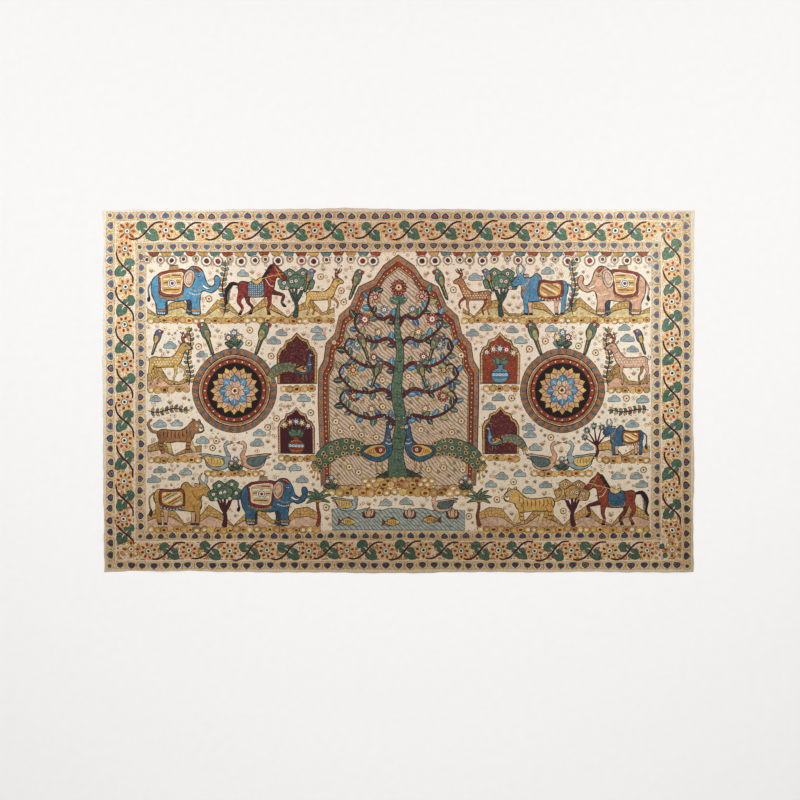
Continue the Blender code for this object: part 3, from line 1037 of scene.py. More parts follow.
def palm(pen, trunk="brick", frond="green"):
    """A small palm, 130 mm tall."""
    for a, reach in ((8, 42), (38, 50), (66, 50), (94, 46), (122, 50), (150, 50), (176, 42)):
        one = pen.move(0, 84, 1.0, a)
        bend = -12 if a < 90 else 12
        one.patch([(0, -2), (reach * 0.5, 5), (reach, bend), (reach * 0.55, -7)], frond, 1.5, "leaf", gap=8)
        one.stroke([(4, 0), (reach * 0.5, 0), (reach * 0.9, bend * 0.8)], 1.2, "olive")
    pen.limb([(-3, -2), (4, 30), (-2, 60), (0, 88)], (13, 10, 9, 8), trunk)
    for k in range(7):
        pen.stroke([(-5 + (k % 2) * 2, 8 + k * 11), (6 + (k % 2), 11 + k * 11)], 1.6, "umber", False)
    for x in (-7, 0, 7):
        pen.rings(x, 82, [(5.2, "umber"), (4.2, "gold")], 8)


print("trees ready")

# %% Flower pot and medallion
def potted(pen, body="brick"):
    """A water pot with a bunch of flowers, 120 mm tall."""
    for a, paint in ((50, "madder"), (72, "gold"), (90, "sky"), (108, "red"), (130, "ochre")):
        x, y = 66 * math.cos(math.radians(a)), 56 + 54 * math.sin(math.radians(a))
        pen.stroke([(0, 54), (x * 0.6, 54 + (y - 54) * 0.6), (x, y)], 2.2, "leaf")
        blossom(pen.move(x, y, 0.62), 7, paint, "cream")
    for a in (35, 60, 120, 145):
        leaf(pen.move(0, 56, 1.0, a), "green", "olive", 32)
    pot(pen, body)


def medallion(pen):
    """A lotus in a toothed ring, 248 mm across."""
    size = 124.0
    pen.rings(0, 0, [(size, "umber"), (size - 1.5, "orange")], 44)
    teeth = 30
    for i in range(teeth * 3):
        one = pen.move(0, 0, 1.0, 360.0 * i / (teeth * 3))
        if i % 3 == 0:
            one.patch([(size - 17, -3), (size - 3, -1), (size - 4, 5), (size - 10, 6), (size - 17, 2)],
                      "sky", 1.2, curved=False)
            one.stroke([(size - 16, -0.5), (size - 6, 2)], 2.2, "black", False)
        else:
            one.stroke([(size - 17, 0), (size - 3, 3.5)], 1.4, "brick", False)
    pen.rings(0, 0, [(size - 18, "black"), (size - 21, "blush"), (size - 23, "orange")], 40)
    for i in range(40):
        pen.move(0, 0, 1.0, 9.0 * i).stroke([(size - 30, 0), (size - 24, 0)], 1.6, "teal", False)
    pen.rings(0, 0, [(size - 30, "black"), (size - 33, "brick")], 40)
    for i in range(24):
        pen.dot(*around(size - 38, math.radians(15.0 * i)), 2.2, "cream", 6)
    pen.rings(0, 0, [(size - 43, "umber"), (size - 44.5, "black")], 32)
    layers = ((16, 64, "ochre", "madder"), (16, 56, "peach", "madder"), (8, 42, "sky", "cream"),
              (8, 30, "blush", "red"))
    for layer, (count, reach, paint, inner) in enumerate(layers):
        for i in range(count):
            one = pen.move(0, 0, size / 112.0, 360.0 * (i + 0.5 * (layer % 2)) / count)
            wide = reach * (0.19 if count == 16 else 0.34)
            one.patch([(8, -2), (reach * 0.6, -wide), (reach, 0), (reach * 0.6, wide), (8, 2)], paint,
                      1.4, gap=16)
            if layer != 0:
                one.stroke([(reach * 0.5, 0), (reach * 0.84, 0)], 1.8, inner, False)
    pen.rings(0, 0, [(14, "umber"), (12.4, "gold"), (8.4, "cream"), (5.8, "madder"), (2.6, "black")], 12)
    circle = [around(10.3, math.radians(a)) for a in range(0, 361, 30)]
    pen.beads(circle, 5.4, 1.3, "maroon", curved=False)


print("flower pot and medallion ready")

# %% Great arch and tree of life
def great_arch(pen):
    """The cusped arch behind the tree of life, 470 mm wide and 680 mm tall on the origin."""
    side = [(228, 0), (233, 120), (236, 240), (236, 340), (220, 368), (214, 418), (188, 446), (174, 500),
            (140, 528), (116, 584), (72, 606), (46, 648), (0, 680)]
    for share, paint in ((1.0, "orange"), (0.935, "brick"), (0.885, "ochre"), (0.868, "arch ground")):
        half = [(x * share, 6 + (y - 6) * (1 - (1 - share) * 0.46) if y else 0) for x, y in side]
        pen.patch([(-x, y) for x, y in half[:0:-1]] + [(-half[0][0], 0)] + half, paint, 1.8, curved=False)
    for mirrored in (1, -1):
        pen.beads([(x * 0.968 * mirrored, 6 + (y - 6) * 0.985) for x, y in side], 19.0, 3.6, "sky", 7, False)
        pen.beads([(x * 0.968 * mirrored, 4 + (y - 6) * 0.985) for x, y in side], 19.0, 1.6, "black", 5,
                  False)
        pen.beads([(x * 0.910 * mirrored, 6 + (y - 6) * 0.955) for x, y in side], 14.0, 1.7, "cream", 5,
                  False)


def tree_of_life(pen):
    """A flowering tree 680 mm tall with curling branches, on the origin."""
    for side in (-1, 1):
        for reach in (34, 62, 88):
            pen.limb([(0, 34), (side * reach * 0.6, 16), (side * reach, -4)], (22, 14, 5), "leaf")
    tiers = ((176, 1.0, "madder", "ochre", "gold"), (262, 1.02, "ochre", "brick", "sky"),
             (348, 0.94, "sky", "ochre", "madder"), (430, 0.76, "red", "cream", "gold"),
             (504, 0.52, "peach", "madder", "sky"))
    for tier, (base, spread, petals, heart, bud) in enumerate(tiers):
        for side in (-1, 1):
            lean = 6 * side * (tier % 2)
            path = [(0, base), (side * 46 * spread, base + 36), (side * 98 * spread, base + 26),
                    (side * 150 * spread, base + 44 + lean), (side * 190 * spread, base + 84),
                    (side * 176 * spread, base + 118), (side * 146 * spread, base + 112)]
            smooth = flowing(path, False, 6.0)
            walked, count = 0.0, 0
            for a, b in zip(smooth, smooth[1:]):
                walked += math.dist(a, b)
                if walked > 15.5:
                    walked = 0.0
                    count += 1
                    way = math.degrees(math.atan2(b[1] - a[1], b[0] - a[0]))
                    tilt = 52 if count % 2 else -52
                    paint = ("green", "leaf", "sky", "olive", "blue")[count % 5]
                    leaf(pen.move(b[0], b[1], 1.0, way + tilt), paint, "cream", 26 + 3 * (count % 3), 0.36)
            pen.limb(path, (15, 12, 10, 8, 6, 5, 4), "maroon", "black", 1.6)
            blossom(pen.move(side * 146 * spread, base + 100, 0.95), 10, petals, heart)
            blossom(pen.move(side * 88 * spread, base + 58, 0.66), 8, bud, "cream")
            for x, y in ((118, 82), (60, 4), (118, -6), (172, 40)):
                pen.rings(side * x * spread, base + y, [(5.6, "umber"), (4.4, "ochre"), (2.2, "red")], 7)
    trunk = [(0, 0), (-9, 84), (10, 186), (-7, 300), (5, 410), (-3, 500), (0, 590)]
    pen.limb(trunk, (66, 46, 40, 34, 26, 18, 8), "green scales", edge=2.4)
    for k in range(15):
        y = 34 + k * 36
        pen.stroke([(-17 + k * 0.7, y), (0, y - 6), (17 - k * 0.7, y)], 2.2, "leaf")
    for a in (30, 60, 90, 120, 150):
        leaf(pen.move(0, 584, 1.0, a), "green", "cream", 34, 0.32)
    blossom(pen.move(0, 636, 1.25), 12, "madder", "ochre")


print("arch and tree of life ready")

# %% Pond, niche, bunting, hills and bushes
def pond(pen, width, height):
    """Wavy water with lotuses, along +X from the origin."""
    top = [(width * i / 16, height + 4 * math.sin(i * 1.9)) for i in range(17)]
    pen.patch([(0, 0)] + [(width, 0)] + top[::-1], "water", 2.0, "teal", curved=False)
    for k in range(4):
        y = height * (0.2 + 0.2 * k)
        for start in range(int(width / 46)):
            x = start * 46 + 12 + 20 * (k % 2)
            if x + 26 < width:
                pen.stroke([(x, y), (x + 8, y + 3), (x + 16, y), (x + 26, y + 2)], 1.5, "teal")


def niche(pen, ground="maroon", rim="ochre"):
    """A cusped arch 124 mm wide and 160 mm tall that frames a pot or a bird."""
    arch = [(-62, 0), (-62, 92), (-52, 112), (-40, 118), (-34, 136), (-16, 142), (0, 160), (16, 142),
            (34, 136), (40, 118), (52, 112), (62, 92), (62, 0)]
    pen.patch(arch, rim, 2.2, curved=False)
    pen.patch([(x * 0.88, 2 + y * 0.93) for x, y in arch], ground, 1.6, curved=False)
    pen.beads([(x * 0.94, 1 + y * 0.965) for x, y in arch], 10.5, 1.8, "red", 5, False)


def pendants(pen, count, pitch):
    """Ringed discs that hang from the top edge of the field."""
    for i in range(count):
        x = i * pitch + hand.uniform(-4, 4)
        r = hand.choice((8.0, 10.0, 12.5, 15.0))
        y = -r - 3
        pen.rings(x, y, [(r + 3.4, "grey"), (r + 2.0, "honey"), (r, "umber"), (r - 1.6, "white"),
                         (r * 0.56, hand.choice(("madder", "maroon", "maroon")))], 10)
        if i % 3 == 1:
            pen.rings(x, y - r - 7, [(4.6, "umber"), (3.4, "white"), (1.6, "madder")], 8)


def swags(pen, count, pitch):
    """A bunting of cloth that hangs from the top edge of the field between the discs."""
    for i in range(count):
        one = pen.move((i + 0.5) * pitch, 0)
        one.patch([(-pitch / 2, 2), (-pitch * 0.3, -8), (0, -12), (pitch * 0.3, -8), (pitch / 2, 2)],
                  ("brick", "gold", "teal")[i % 3], 1.6, curved=False)


def hill(pen, length, height, paint):
    """A low painted hill behind a row of animals."""
    steps = max(4, int(length / 34))
    top = [(length * i / steps, height * (0.55 + 0.45 * math.sin(i * 1.7 + length) * (0 < i < steps)))
           for i in range(steps + 1)]
    pen.patch([(0, -6), (length, -6)] + top[::-1], paint, 1.6, curved=False)


def bushy(pen):
    """A low bush of three blossoms for gaps along the ground."""
    for a in (20, 55, 90, 125, 160):
        leaf(pen.move(0, 0, 1.0, a), ("green", "leaf", "teal")[a % 3], "olive", 26, 0.36)
    for x, y, paint in ((-14, 22, "madder"), (14, 22, "ochre"), (0, 34, "sky")):
        blossom(pen.move(x, y, 0.5), 7, paint, "cream")


print("scenery ready")

# %% [markdown]
# ## Laying out the field
# The field is planned in three parts. The tree of life stands in the middle under a cusped arch, on
# a rocky bank over a pond. Each wing has four rows of animals on low hills and banks of rock, about
# as tall as a hand is long, round a lotus medallion. A bunting and ringed discs hang along the top.
# The right wing mirrors the left in plan and changes its animals and colours, as a painter working
# from memory would.

# %% The middle of the field
swags(Pen(-738, 405), 19, 36.2)
swags(Pen(50, 405), 19, 36.2)
pendants(Pen(-738, 398), 20, 35.0)
pendants(Pen(73, 398), 20, 35.0)
great_arch(Pen(0, -280))
ARCH_DONE = len(patches)
tree_of_life(Pen(0, -262, 0.89))
pond(Pen(-196, -411), 392, 62)
for x, y, flip in ((-150, -386, False), (96, -380, True), (-20, -388, False)):
    fish(Pen(x, y, 0.8, 0, flip), "gold" if flip else "ochre")
for x, y, paint in ((-88, -372, "peach"), (34, -376, "blush"), (160, -374, "peach")):
    lotus(Pen(x, y, 0.78), paint)
swan(Pen(-150, -352, 0.78), "mist")
swan(Pen(128, -354, 0.78, 0, True), "blush", "teal")
rocks(Pen(-206, -300), 412, 18, 1)
rocks(Pen(-96, -276), 192, 17, 1)
peacock(Pen(-62, -246, 0.94))
peacock(Pen(62, -246, 0.94, 0, True))
for x, y, flip in ((-62, 46, False), (66, 44, True), (-106, 128, True), (106, 124, False)):
    parrot(Pen(x, y, 0.8, 0, flip))
for x in (-196, 196):
    bushy(Pen(x, -288, 0.9))
    parrot(Pen(x * 0.63, 308, 0.9, 0, x > 0))

print(len(patches), "patches with the middle")

# %% The wings
# Hills: left end, right end, foot, height of the one behind and of the one in front, and its paint.
HILLS = [(-738, -188, 210, 62, 36, "honey"), (-738, -612, 8, 74, 34, "peach"),
         (-738, -580, -198, 66, 32, "blush"), (-738, -230, -404, 70, 38, "blush")]
# Banks of rock: left end, right end and foot.
BANKS = [(-738, -186, 206), (-738, -614, 2), (-352, -246, 6), (-738, -580, -204), (-354, -240, -200),
         (-738, -232, -409), (-570, -392, -244)]


def wing(side):
    """The left wing, or with side 1 the right wing, mirrored in plan."""
    left = side < 0

    def pen(x, y, size=1.0, flip=False):
        return Pen(x if left else -x, y, size, 0.0, flip if left else not flip)

    for x0, x1, y, back, front, paint in HILLS:
        start = Pen(x0 if left else -x1, y)
        hill(start, x1 - x0, back, "gold scales")
        hill(start, x1 - x0, front, paint)
    for x0, x1, y in BANKS:
        rocks(Pen(x0 if left else -x1, y), x1 - x0, 15, 0)
    medallion(pen(-482, 0))

    # Top row.
    leafy_stem(pen(-514, 220), 160, ("teal", "gold"))
    small_tree(pen(-302, 220, 0.96), "green scales", "leaf", "red")
    if left:
        elephant(pen(-646, 222, 0.88))
        horse(pen(-416, 222, 0.9))
        deer(pen(-228, 222, 0.78), "ochre", "gold")
    else:
        elephant(pen(-646, 222, 0.88), "peach", "madder", "ochre", "blush")
        bull(pen(-424, 222, 0.92), "sky", "madder", "gold")
        deer(pen(-228, 222, 0.78), "orange", "brick")

    # Second row, beside the medallion, with birds over it.
    parrot(pen(-566, 150, 0.98, True))
    parrot(pen(-398, 150, 0.98))
    parrot(pen(-262, 322, 0.7), "sky", "gold")
    parrot(pen(-710, 140, 0.75), "blue", "ochre")
    bushy(pen(-482, 130, 1.15))
    leafy_stem(pen(-616, 14, 0.9), 186, ("gold", "green"))
    if left:
        deer(pen(-684, 18, 0.88))
        niche(pen(-298, 20, 0.94), "maroon", "ochre")
        peacock(pen(-280, 26, 0.52), "blue", "green")
    else:
        deer(pen(-684, 18, 0.88), "peach", "orange")
        niche(pen(-298, 20, 0.94), "brick", "honey")
        potted(pen(-298, 22, 0.92), "sky")

    # Third row, beside and under the medallion, with a leafy stem laid along its top.
    leafy_stem(Pen(side * 736, -58, 0.9, side * 90), 122, ("green", "gold"))
    swan(pen(-530, -230, 0.92), "mist")
    swan(pen(-430, -230, 0.92, True), "peach", "teal")
    bushy(pen(-480, -232, 0.9))
    if left:
        tiger(pen(-650, -190, 0.86))
        niche(pen(-300, -186, 0.86), "wine", "peach")
        potted(pen(-300, -184, 0.84), "brick")
    else:
        branch_tree(pen(-584, -192, 0.66), "wine")
        bull(pen(-668, -190, 0.66), "blue", "brick", "ochre")
        niche(pen(-300, -186, 0.86), "maroon", "ochre")
        peacock(pen(-282, -180, 0.46), "sky", "teal")

    # Bottom row.
    palm(pen(-236, -396, 0.84))
    if left:
        bull(pen(-642, -396, 0.95), "gold", "brick", "sky")
        small_tree(pen(-510, -396, 0.92), "green scales", "wine", "peach")
        elephant(pen(-384, -396, 0.86), "blue", "madder", "honey", "peach")
    else:
        horse(pen(-638, -396, 0.92), "brick", "honey", "blue")
        small_tree(pen(-512, -396, 0.92), "gold scales", "wine", "red")
        tiger(pen(-394, -396, 0.92), "ochre", "brick")


wing(-1)
wing(1)
print(len(patches), "patches with the figures")

# %% [markdown]
# ## Filling the gaps
# A kalamkari painter leaves no bare ground between the figures. The gaps are found with a coarse
# grid of the cloth that notes where paint already lies, and each gap takes the largest small motif
# that fits: a cloud, a ringed disc, a sprig, a star or a ringed dot. The arch's ground is filled in
# the same way, between the branches.

# %% Which ground is free
CELL = 4.0
taken = set()


def mark_taken(first):
    """Note the grid cells under every patch from this one on."""
    for loop, paint in patches[first:]:
        low = min(y for x, y in loop)
        high = max(y for x, y in loop)
        for row in range(int(low // CELL), int(high // CELL) + 1):
            level = (row + 0.5) * CELL
            cuts = crossings(loop, level)
            for a, b in zip(cuts[::2], cuts[1::2]):
                for column in range(int(a // CELL), int(b // CELL) + 1):
                    taken.add((column, row))
        for x, y in loop:
            taken.add((int(x // CELL), int(y // CELL)))


def is_free(x, y, r_x, r_y):
    """Whether an oval of the field is still bare."""
    if not (FIELD[0] + r_x < x < FIELD[1] - r_x and FIELD[2] + r_y < y < FIELD[3] - r_y):
        return False
    for column in range(int((x - r_x) // CELL), int((x + r_x) // CELL) + 1):
        for row in range(int((y - r_y) // CELL), int((y + r_y) // CELL) + 1):
            across = ((column + 0.5) * CELL - x) / r_x
            up = ((row + 0.5) * CELL - y) / r_y
            if across * across + up * up < 1.0 and (column, row) in taken:
                return False
    return True


print("grid cells are", CELL, "mm wide")

# %% The fillers
def cloud_filler(x, y):
    cloud(Pen(x, y, hand.uniform(0.85, 1.05), 0, hand.random() < 0.5))


def disc_filler(x, y):
    core = hand.choice(("red", "blue", "maroon"))
    Pen(x, y).rings(0, 0, [(10.4, "umber"), (8.9, "ochre"), (6.0, "white"), (3.4, core)], 9)


def star_filler(x, y):
    star(Pen(x, y, hand.uniform(0.8, 1.0), hand.uniform(0, 40)))


def ringed_filler(x, y):
    ringed(Pen(x, y, hand.uniform(0.7, 0.9)))


def sprig_filler(x, y):
    tuft(Pen(x, y - 9, 0.62))


print("five fillers ready")

# %% Fill the arch, then the whole field
def fill(fillers, left, right, bottom, top):
    """Try each filler at chance places in a part of the field."""
    for filler, r_x, r_y, tries in fillers:
        count = 0
        for _ in range(tries):
            x, y = hand.uniform(left, right), hand.uniform(bottom, top)
            if is_free(x, y, r_x, r_y):
                first = len(patches)
                filler(x, y)
                mark_taken(first)
                count += 1
        print(filler.__name__, count, "drawn")


mark_taken(ARCH_DONE)
fill([(disc_filler, 13, 13, 300), (star_filler, 10, 10, 500), (ringed_filler, 8, 8, 400)],
     -192, 192, -250, 150)
taken.clear()
mark_taken(FIELD_STARTS)
fill([(cloud_filler, 24, 13, 6000), (disc_filler, 13, 13, 2000), (sprig_filler, 13, 12, 3000),
      (star_filler, 9, 9, 4000), (ringed_filler, 7, 7, 6000)], *FIELD)

# %% [markdown]
# ## From patches to one cloth
# A painted cloth is one sheet, so the patches are not stacked as separate skins. A constrained
# triangulation cuts the sheet along every outline at once, and each small face then takes the
# paint of the last patch that covers it. Lines that ended up under other paint are then dropped
# and the sheet is cut a second time, which saves nearly half of the faces. The colour is kept on
# the mesh as an attribute, which needs no image and stays sharp at any distance. The hem is a
# narrow fold that runs all round: the rings below give it its step, and the back is a second,
# coarser sheet that shares the rim.

# %% The hem's rings
HEM = 7.0
# Each ring's inset from the rim, and its height above the underside.
RINGS = [(0.0, 0.7), (1.6, 1.65), (HEM, 1.6), (HEM + 1.8, THICKNESS)]
WIDE, HIGH = 190, 116  # corners of a ring along a long and along a short side
SLACK = 0.44  # how far a line may move, in millimetres, when a corner is left out of it
NEAR = 1e-5  # corners nearer than this are one


def hem_ring(inset):
    """Points all round the cloth, anticlockwise from the lower left corner."""
    du, dv = inset / LENGTH, inset / WIDTH
    shares = [(i / WIDE, 0.0) for i in range(WIDE)] + [(1.0, i / HIGH) for i in range(HIGH)]
    shares += [(1.0 - i / WIDE, 1.0) for i in range(WIDE)] + [(0.0, 1.0 - i / HIGH) for i in range(HIGH)]
    fray = max(0.0, 1.0 - inset / 12.0)
    ring = []
    for s, t in shares:
        x, y = place(du + (1.0 - 2.0 * du) * s, dv + (1.0 - 2.0 * dv) * t)
        x, y = x - MIDDLE_X, y - MIDDLE_Y
        ring.append((x + fray * (0.6 * math.sin(y / 8.3) + 0.5 * math.sin(y / 21.0 + 1.0)),
                     y + fray * (0.6 * math.sin(x / 9.1) + 0.5 * math.sin(x / 24.0 + 2.0))))
    return ring


print("one ring has", 2 * (WIDE + HIGH), "corners")

# %% From a place on the cloth back to its shares
def shares_of(x, y):
    """The shares u and v that place() would turn into this point."""
    u, v = (x + MIDDLE_X) / LENGTH + 0.5, (y + MIDDLE_Y) / WIDTH + 0.5
    for _ in range(2):
        left, right, bottom, top = edges_at(min(max(u, 0.0), 1.0), min(max(v, 0.0), 1.0))
        u = (x + MIDDLE_X - left) / (right - left)
        v = (y + MIDDLE_Y - bottom) / (top - bottom)
    return min(max(u, 0.0), 1.0), min(max(v, 0.0), 1.0)


print("shares ready")

# %% Cut along every outline
def triangulated(loops, loose):
    """Corner places, triangles and the last loop over each triangle."""
    corners, rounds = [], []
    for loop in loops:
        # The loop starts at an outermost corner that turns left, which the cutter reads as its inside.
        for key in (lambda p: -p[0], lambda p: p[0], lambda p: -p[1], lambda p: p[1]):
            first = min(range(len(loop)), key=lambda i: key(loop[i]))
            a, b, c = loop[first - 1], loop[first], loop[(first + 1) % len(loop)]
            if (b[0] - a[0]) * (c[1] - b[1]) - (b[1] - a[1]) * (c[0] - b[0]) > 0:
                break
        else:
            continue
        loop = loop[first:] + loop[:first]
        rounds.append(list(range(len(corners), len(corners) + len(loop))))
        corners += loop
    corners += loose
    # Type 1 keeps the faces inside the loops, and True asks which loops lie over each of them.
    spots, _, faces, _, _, over = delaunay_2d_cdt([Vector(p) for p in corners], [], rounds, 1, NEAR, True)
    # Triangles under no loop lie outside the wandering rim.
    kept = [(face, max(ids)) for face, ids in zip(faces, over) if ids]
    return [tuple(p) for p in spots], [list(face) for face, top in kept], [top for face, top in kept]


def at_hem(point):
    """Whether a point lies in the strip where the hem needs all its corners."""
    strip_x, strip_y = 854.0, 519.0
    return abs(point[0]) > strip_x or abs(point[1]) > strip_y


print("first cutter ready")

# %% Cut again along the lines that show
def visible_only(spots, faces, tops, loose):
    """The same picture, cut again along only those lines that still show."""
    beside = {}
    for face, top in zip(faces, tops):
        for a, b in zip(face, face[1:] + face[:1]):
            beside.setdefault((min(a, b), max(a, b)), []).append(top)
    joined = {}
    for (a, b), sides in beside.items():
        if len(sides) == 1 or sides[0] != sides[1] or (at_hem(spots[a]) and at_hem(spots[b])):
            joined.setdefault(a, set()).add(b)
            joined.setdefault(b, set()).add(a)

    # A corner in the middle of a nearly straight run of line is left out.
    for i in sorted(joined):
        if len(joined[i]) == 2 and not at_hem(spots[i]):
            a, b = joined[i]
            (ax, ay), (bx, by), (x, y) = spots[a], spots[b], spots[i]
            length = math.dist(spots[a], spots[b])
            if b not in joined[a] and length > 0.1:
                if abs((bx - ax) * (y - ay) - (by - ay) * (x - ax)) / length < SLACK:
                    del joined[i]
                    joined[a].remove(i)
                    joined[b].remove(i)
                    joined[a].add(b)
                    joined[b].add(a)

    order = {i: n for n, i in enumerate(sorted(joined))}
    lines = [(order[a], order[b]) for a in sorted(joined) for b in sorted(joined[a]) if a < b]
    corners = [Vector(spots[i]) for i in sorted(joined)] + [Vector(p) for p in loose]
    # Type 0 fills the hull of all corners, because the lines are edges here and no longer loops.
    new_spots, _, new_faces, _, _, _ = delaunay_2d_cdt(corners, lines, [], 0, NEAR, False)

    # Each new triangle takes the paint that the first cutting shows at its middle.
    first = BVHTree.FromPolygons([(x, y, 0.0) for x, y in spots], faces)
    kept, kept_tops = [], []
    for face in new_faces:
        middle = sum((new_spots[i] for i in face), Vector((0.0, 0.0))) / 3.0
        found = first.ray_cast(Vector((middle.x, middle.y, 1.0)), Vector((0.0, 0.0, -1.0)))[2]
        if found is not None:
            kept.append(list(face))
            kept_tops.append(tops[found])
    return [tuple(p) for p in new_spots], kept, kept_tops


print("second cutter ready")

# %% Cut the drawing
print(len(patches), "patches with", sum(len(loop) for loop, paint in patches), "points")
rings = [hem_ring(inset) for inset, height in RINGS]
ridge_points = []
for i in range(1, 108):
    for j in range(1, 66):
        u, v = (i + 0.5 * (j % 2)) / 109.0, j / 66.0
        if lift(u, v) > 0.0:
            x, y = place(u, v)
            ridge_points.append((x - MIDDLE_X, y - MIDDLE_Y))

usable = [(loop, "cream") for loop in rings] + patches
front_spots, front_faces, front_over = triangulated([loop for loop, paint in usable], [])
print("first cutting:", len(front_faces), "triangles")
front_spots, front_faces, front_over = visible_only(front_spots, front_faces, front_over, ridge_points)
back_spots, back_faces, _ = triangulated(rings[:2], ridge_points)
print("front:", len(front_spots), "corners,", len(front_faces), "triangles; back:", len(back_faces))

# %% One closed sheet
def hem_height(inset):
    """How far the front stands above the underside."""
    for (start, low), (end, high) in zip(RINGS, RINGS[1:]):
        if inset <= end:
            return low + (high - low) * (inset - start) / (end - start)
    return THICKNESS


def sheet_mesh(name):
    """Front, back and the thin wall between them, as one closed mesh with colour, UV and hem data."""
    flat_x, flat_y = 620, 290  # no ridge and no hem reaches further in than this
    places, hem = [], []
    for x, y in front_spots:
        if abs(x) > flat_x or abs(y) > flat_y:
            u, v = shares_of(x, y)
            inset = min(u * LENGTH, (1 - u) * LENGTH, v * WIDTH, (1 - v) * WIDTH)
            along = y if min(u, 1 - u) * LENGTH < min(v, 1 - v) * WIDTH else x
            places.append((x, y, lift(u, v) + hem_height(inset)))
            hem.append((along, inset, 0.0))
        else:
            places.append((x, y, THICKNESS))
            hem.append((0.0, 99.0, 0.0))
    first_back = len(places)
    for x, y in back_spots:
        u, v = shares_of(x, y)
        inset = min(u * LENGTH, (1 - u) * LENGTH, v * WIDTH, (1 - v) * WIDTH)
        places.append((x, y, lift(u, v)))
        hem.append((0.0, inset, 1.0))

    faces = [tuple(face) for face in front_faces]
    faces += [tuple(first_back + i for i in reversed(face)) for face in back_faces]
    near_front = {(round(x, 3), round(y, 3)): i for i, (x, y) in enumerate(front_spots)}
    near_back = {(round(x, 3), round(y, 3)): first_back + i for i, (x, y) in enumerate(back_spots)}
    wall = []
    for a, b in zip(rings[0], rings[0][1:] + rings[0][:1]):
        ka, kb = [tuple(round(n, 3) for n in Vector(p)) for p in (a, b)]
        wall.append((near_front[ka], near_back[ka], near_back[kb], near_front[kb]))
    faces += wall

    mesh = bpy.data.meshes.new(name)
    mesh.from_pydata([(x / 1000.0, y / 1000.0, z / 1000.0) for x, y, z in places], [], faces)
    mesh.polygons.foreach_set("use_smooth", [True] * len(faces))

    shades = random.Random(7)
    coats = []
    for loop, paint in usable:
        red, green, blue, held = PAINTS[paint]
        lean = 1.0 + shades.uniform(-0.06, 0.06) * (1.0 if held >= 0.5 else 0.0)
        coats.append([(min(c * lean, 255.0) / 255.0) ** 2.2 for c in (red, green, blue)] + [held])
    bare = coats[0]
    dye = mesh.color_attributes.new("dye", "FLOAT_COLOR", "CORNER")
    colours = []
    for face, over in zip(front_faces, front_over):
        colours += coats[over] * len(face)
    for face in faces[len(front_faces):]:
        colours += bare * len(face)
    dye.data.foreach_set("color", colours)

    seam = mesh.attributes.new("hem", "FLOAT_VECTOR", "POINT")
    seam.data.foreach_set("vector", [n for point in hem for n in point])

    # The front fills most of the UV square, the back is squeezed in below it, and the wall between.
    uv = mesh.uv_layers.new(name="OFBake")
    half_x, half_y = 876.0, 542.0
    spread = []
    for index, face in enumerate(faces):
        for corner, i in enumerate(face):
            x, y, _ = places[i]
            across, up = (x + half_x) / (2 * half_x), (y + half_y) / (2 * half_y)
            if index < len(front_faces):
                spread += [across, 0.10 + 0.90 * up]
            elif index < len(front_faces) + len(back_faces):
                spread += [across, 0.08 * up]
            else:
                step = index - len(front_faces) - len(back_faces) + (corner in (2, 3))
                spread += [step / len(wall), 0.085 + 0.01 * (corner in (1, 2))]
    uv.data.foreach_set("uv", spread)
    mesh.validate()
    mesh.update()
    return mesh


cloth = bpy.data.objects.new("painted_cloth", sheet_mesh("painted_cloth"))
bpy.context.scene.collection.objects.link(cloth)
print("cloth has", sum(len(p.vertices) - 2 for p in cloth.data.polygons), "triangles")

# %% [markdown]
# ## Cotton that holds dye
# The material reads the paint from the mesh and then spoils its evenness, because dye on cotton
# is never flat. Washes pool and thin, the ecru ground has stains, painted shade darkens the cloth
# towards the bottom and the middle, and threads show as fine streaks. The nodes do the arithmetic,
# and a small class lets it be written as it would be on paper.

# %% A way to write shader maths
class Value:
    """A number that varies over the surface, with the usual signs working on it."""

    def __init__(self, nodes, socket):
        self.nodes, self.socket = nodes, socket

    def maths(self, operation, *others):
        node = self.nodes.make("ShaderNodeMath", {"operation": operation}, dict(enumerate((self,) + others)))
        return Value(self.nodes, node.outputs[0])

    def __add__(self, other):
        return self.maths("ADD", other)

    def __sub__(self, other):
        return self.maths("SUBTRACT", other)

    def __rsub__(self, other):
        return (self * -1.0) + other

    def __mul__(self, other):
        return self.maths("MULTIPLY", other)

    def __truediv__(self, other):
        return self.maths("DIVIDE", other)

    def __lt__(self, other):
        return self.maths("LESS_THAN", other)

    def __gt__(self, other):
        return self.maths("GREATER_THAN", other)

    __radd__ = __add__
    __rmul__ = __mul__

    def between(self, low, high):
        """0 below low, 1 above high, with a soft rise from one to the other."""
        node = self.nodes.make("ShaderNodeMapRange", {"interpolation_type": "SMOOTHSTEP"},
                               {"Value": self, "From Min": low, "From Max": high})
        return Value(self.nodes, node.outputs["Result"])


print("signs ready")

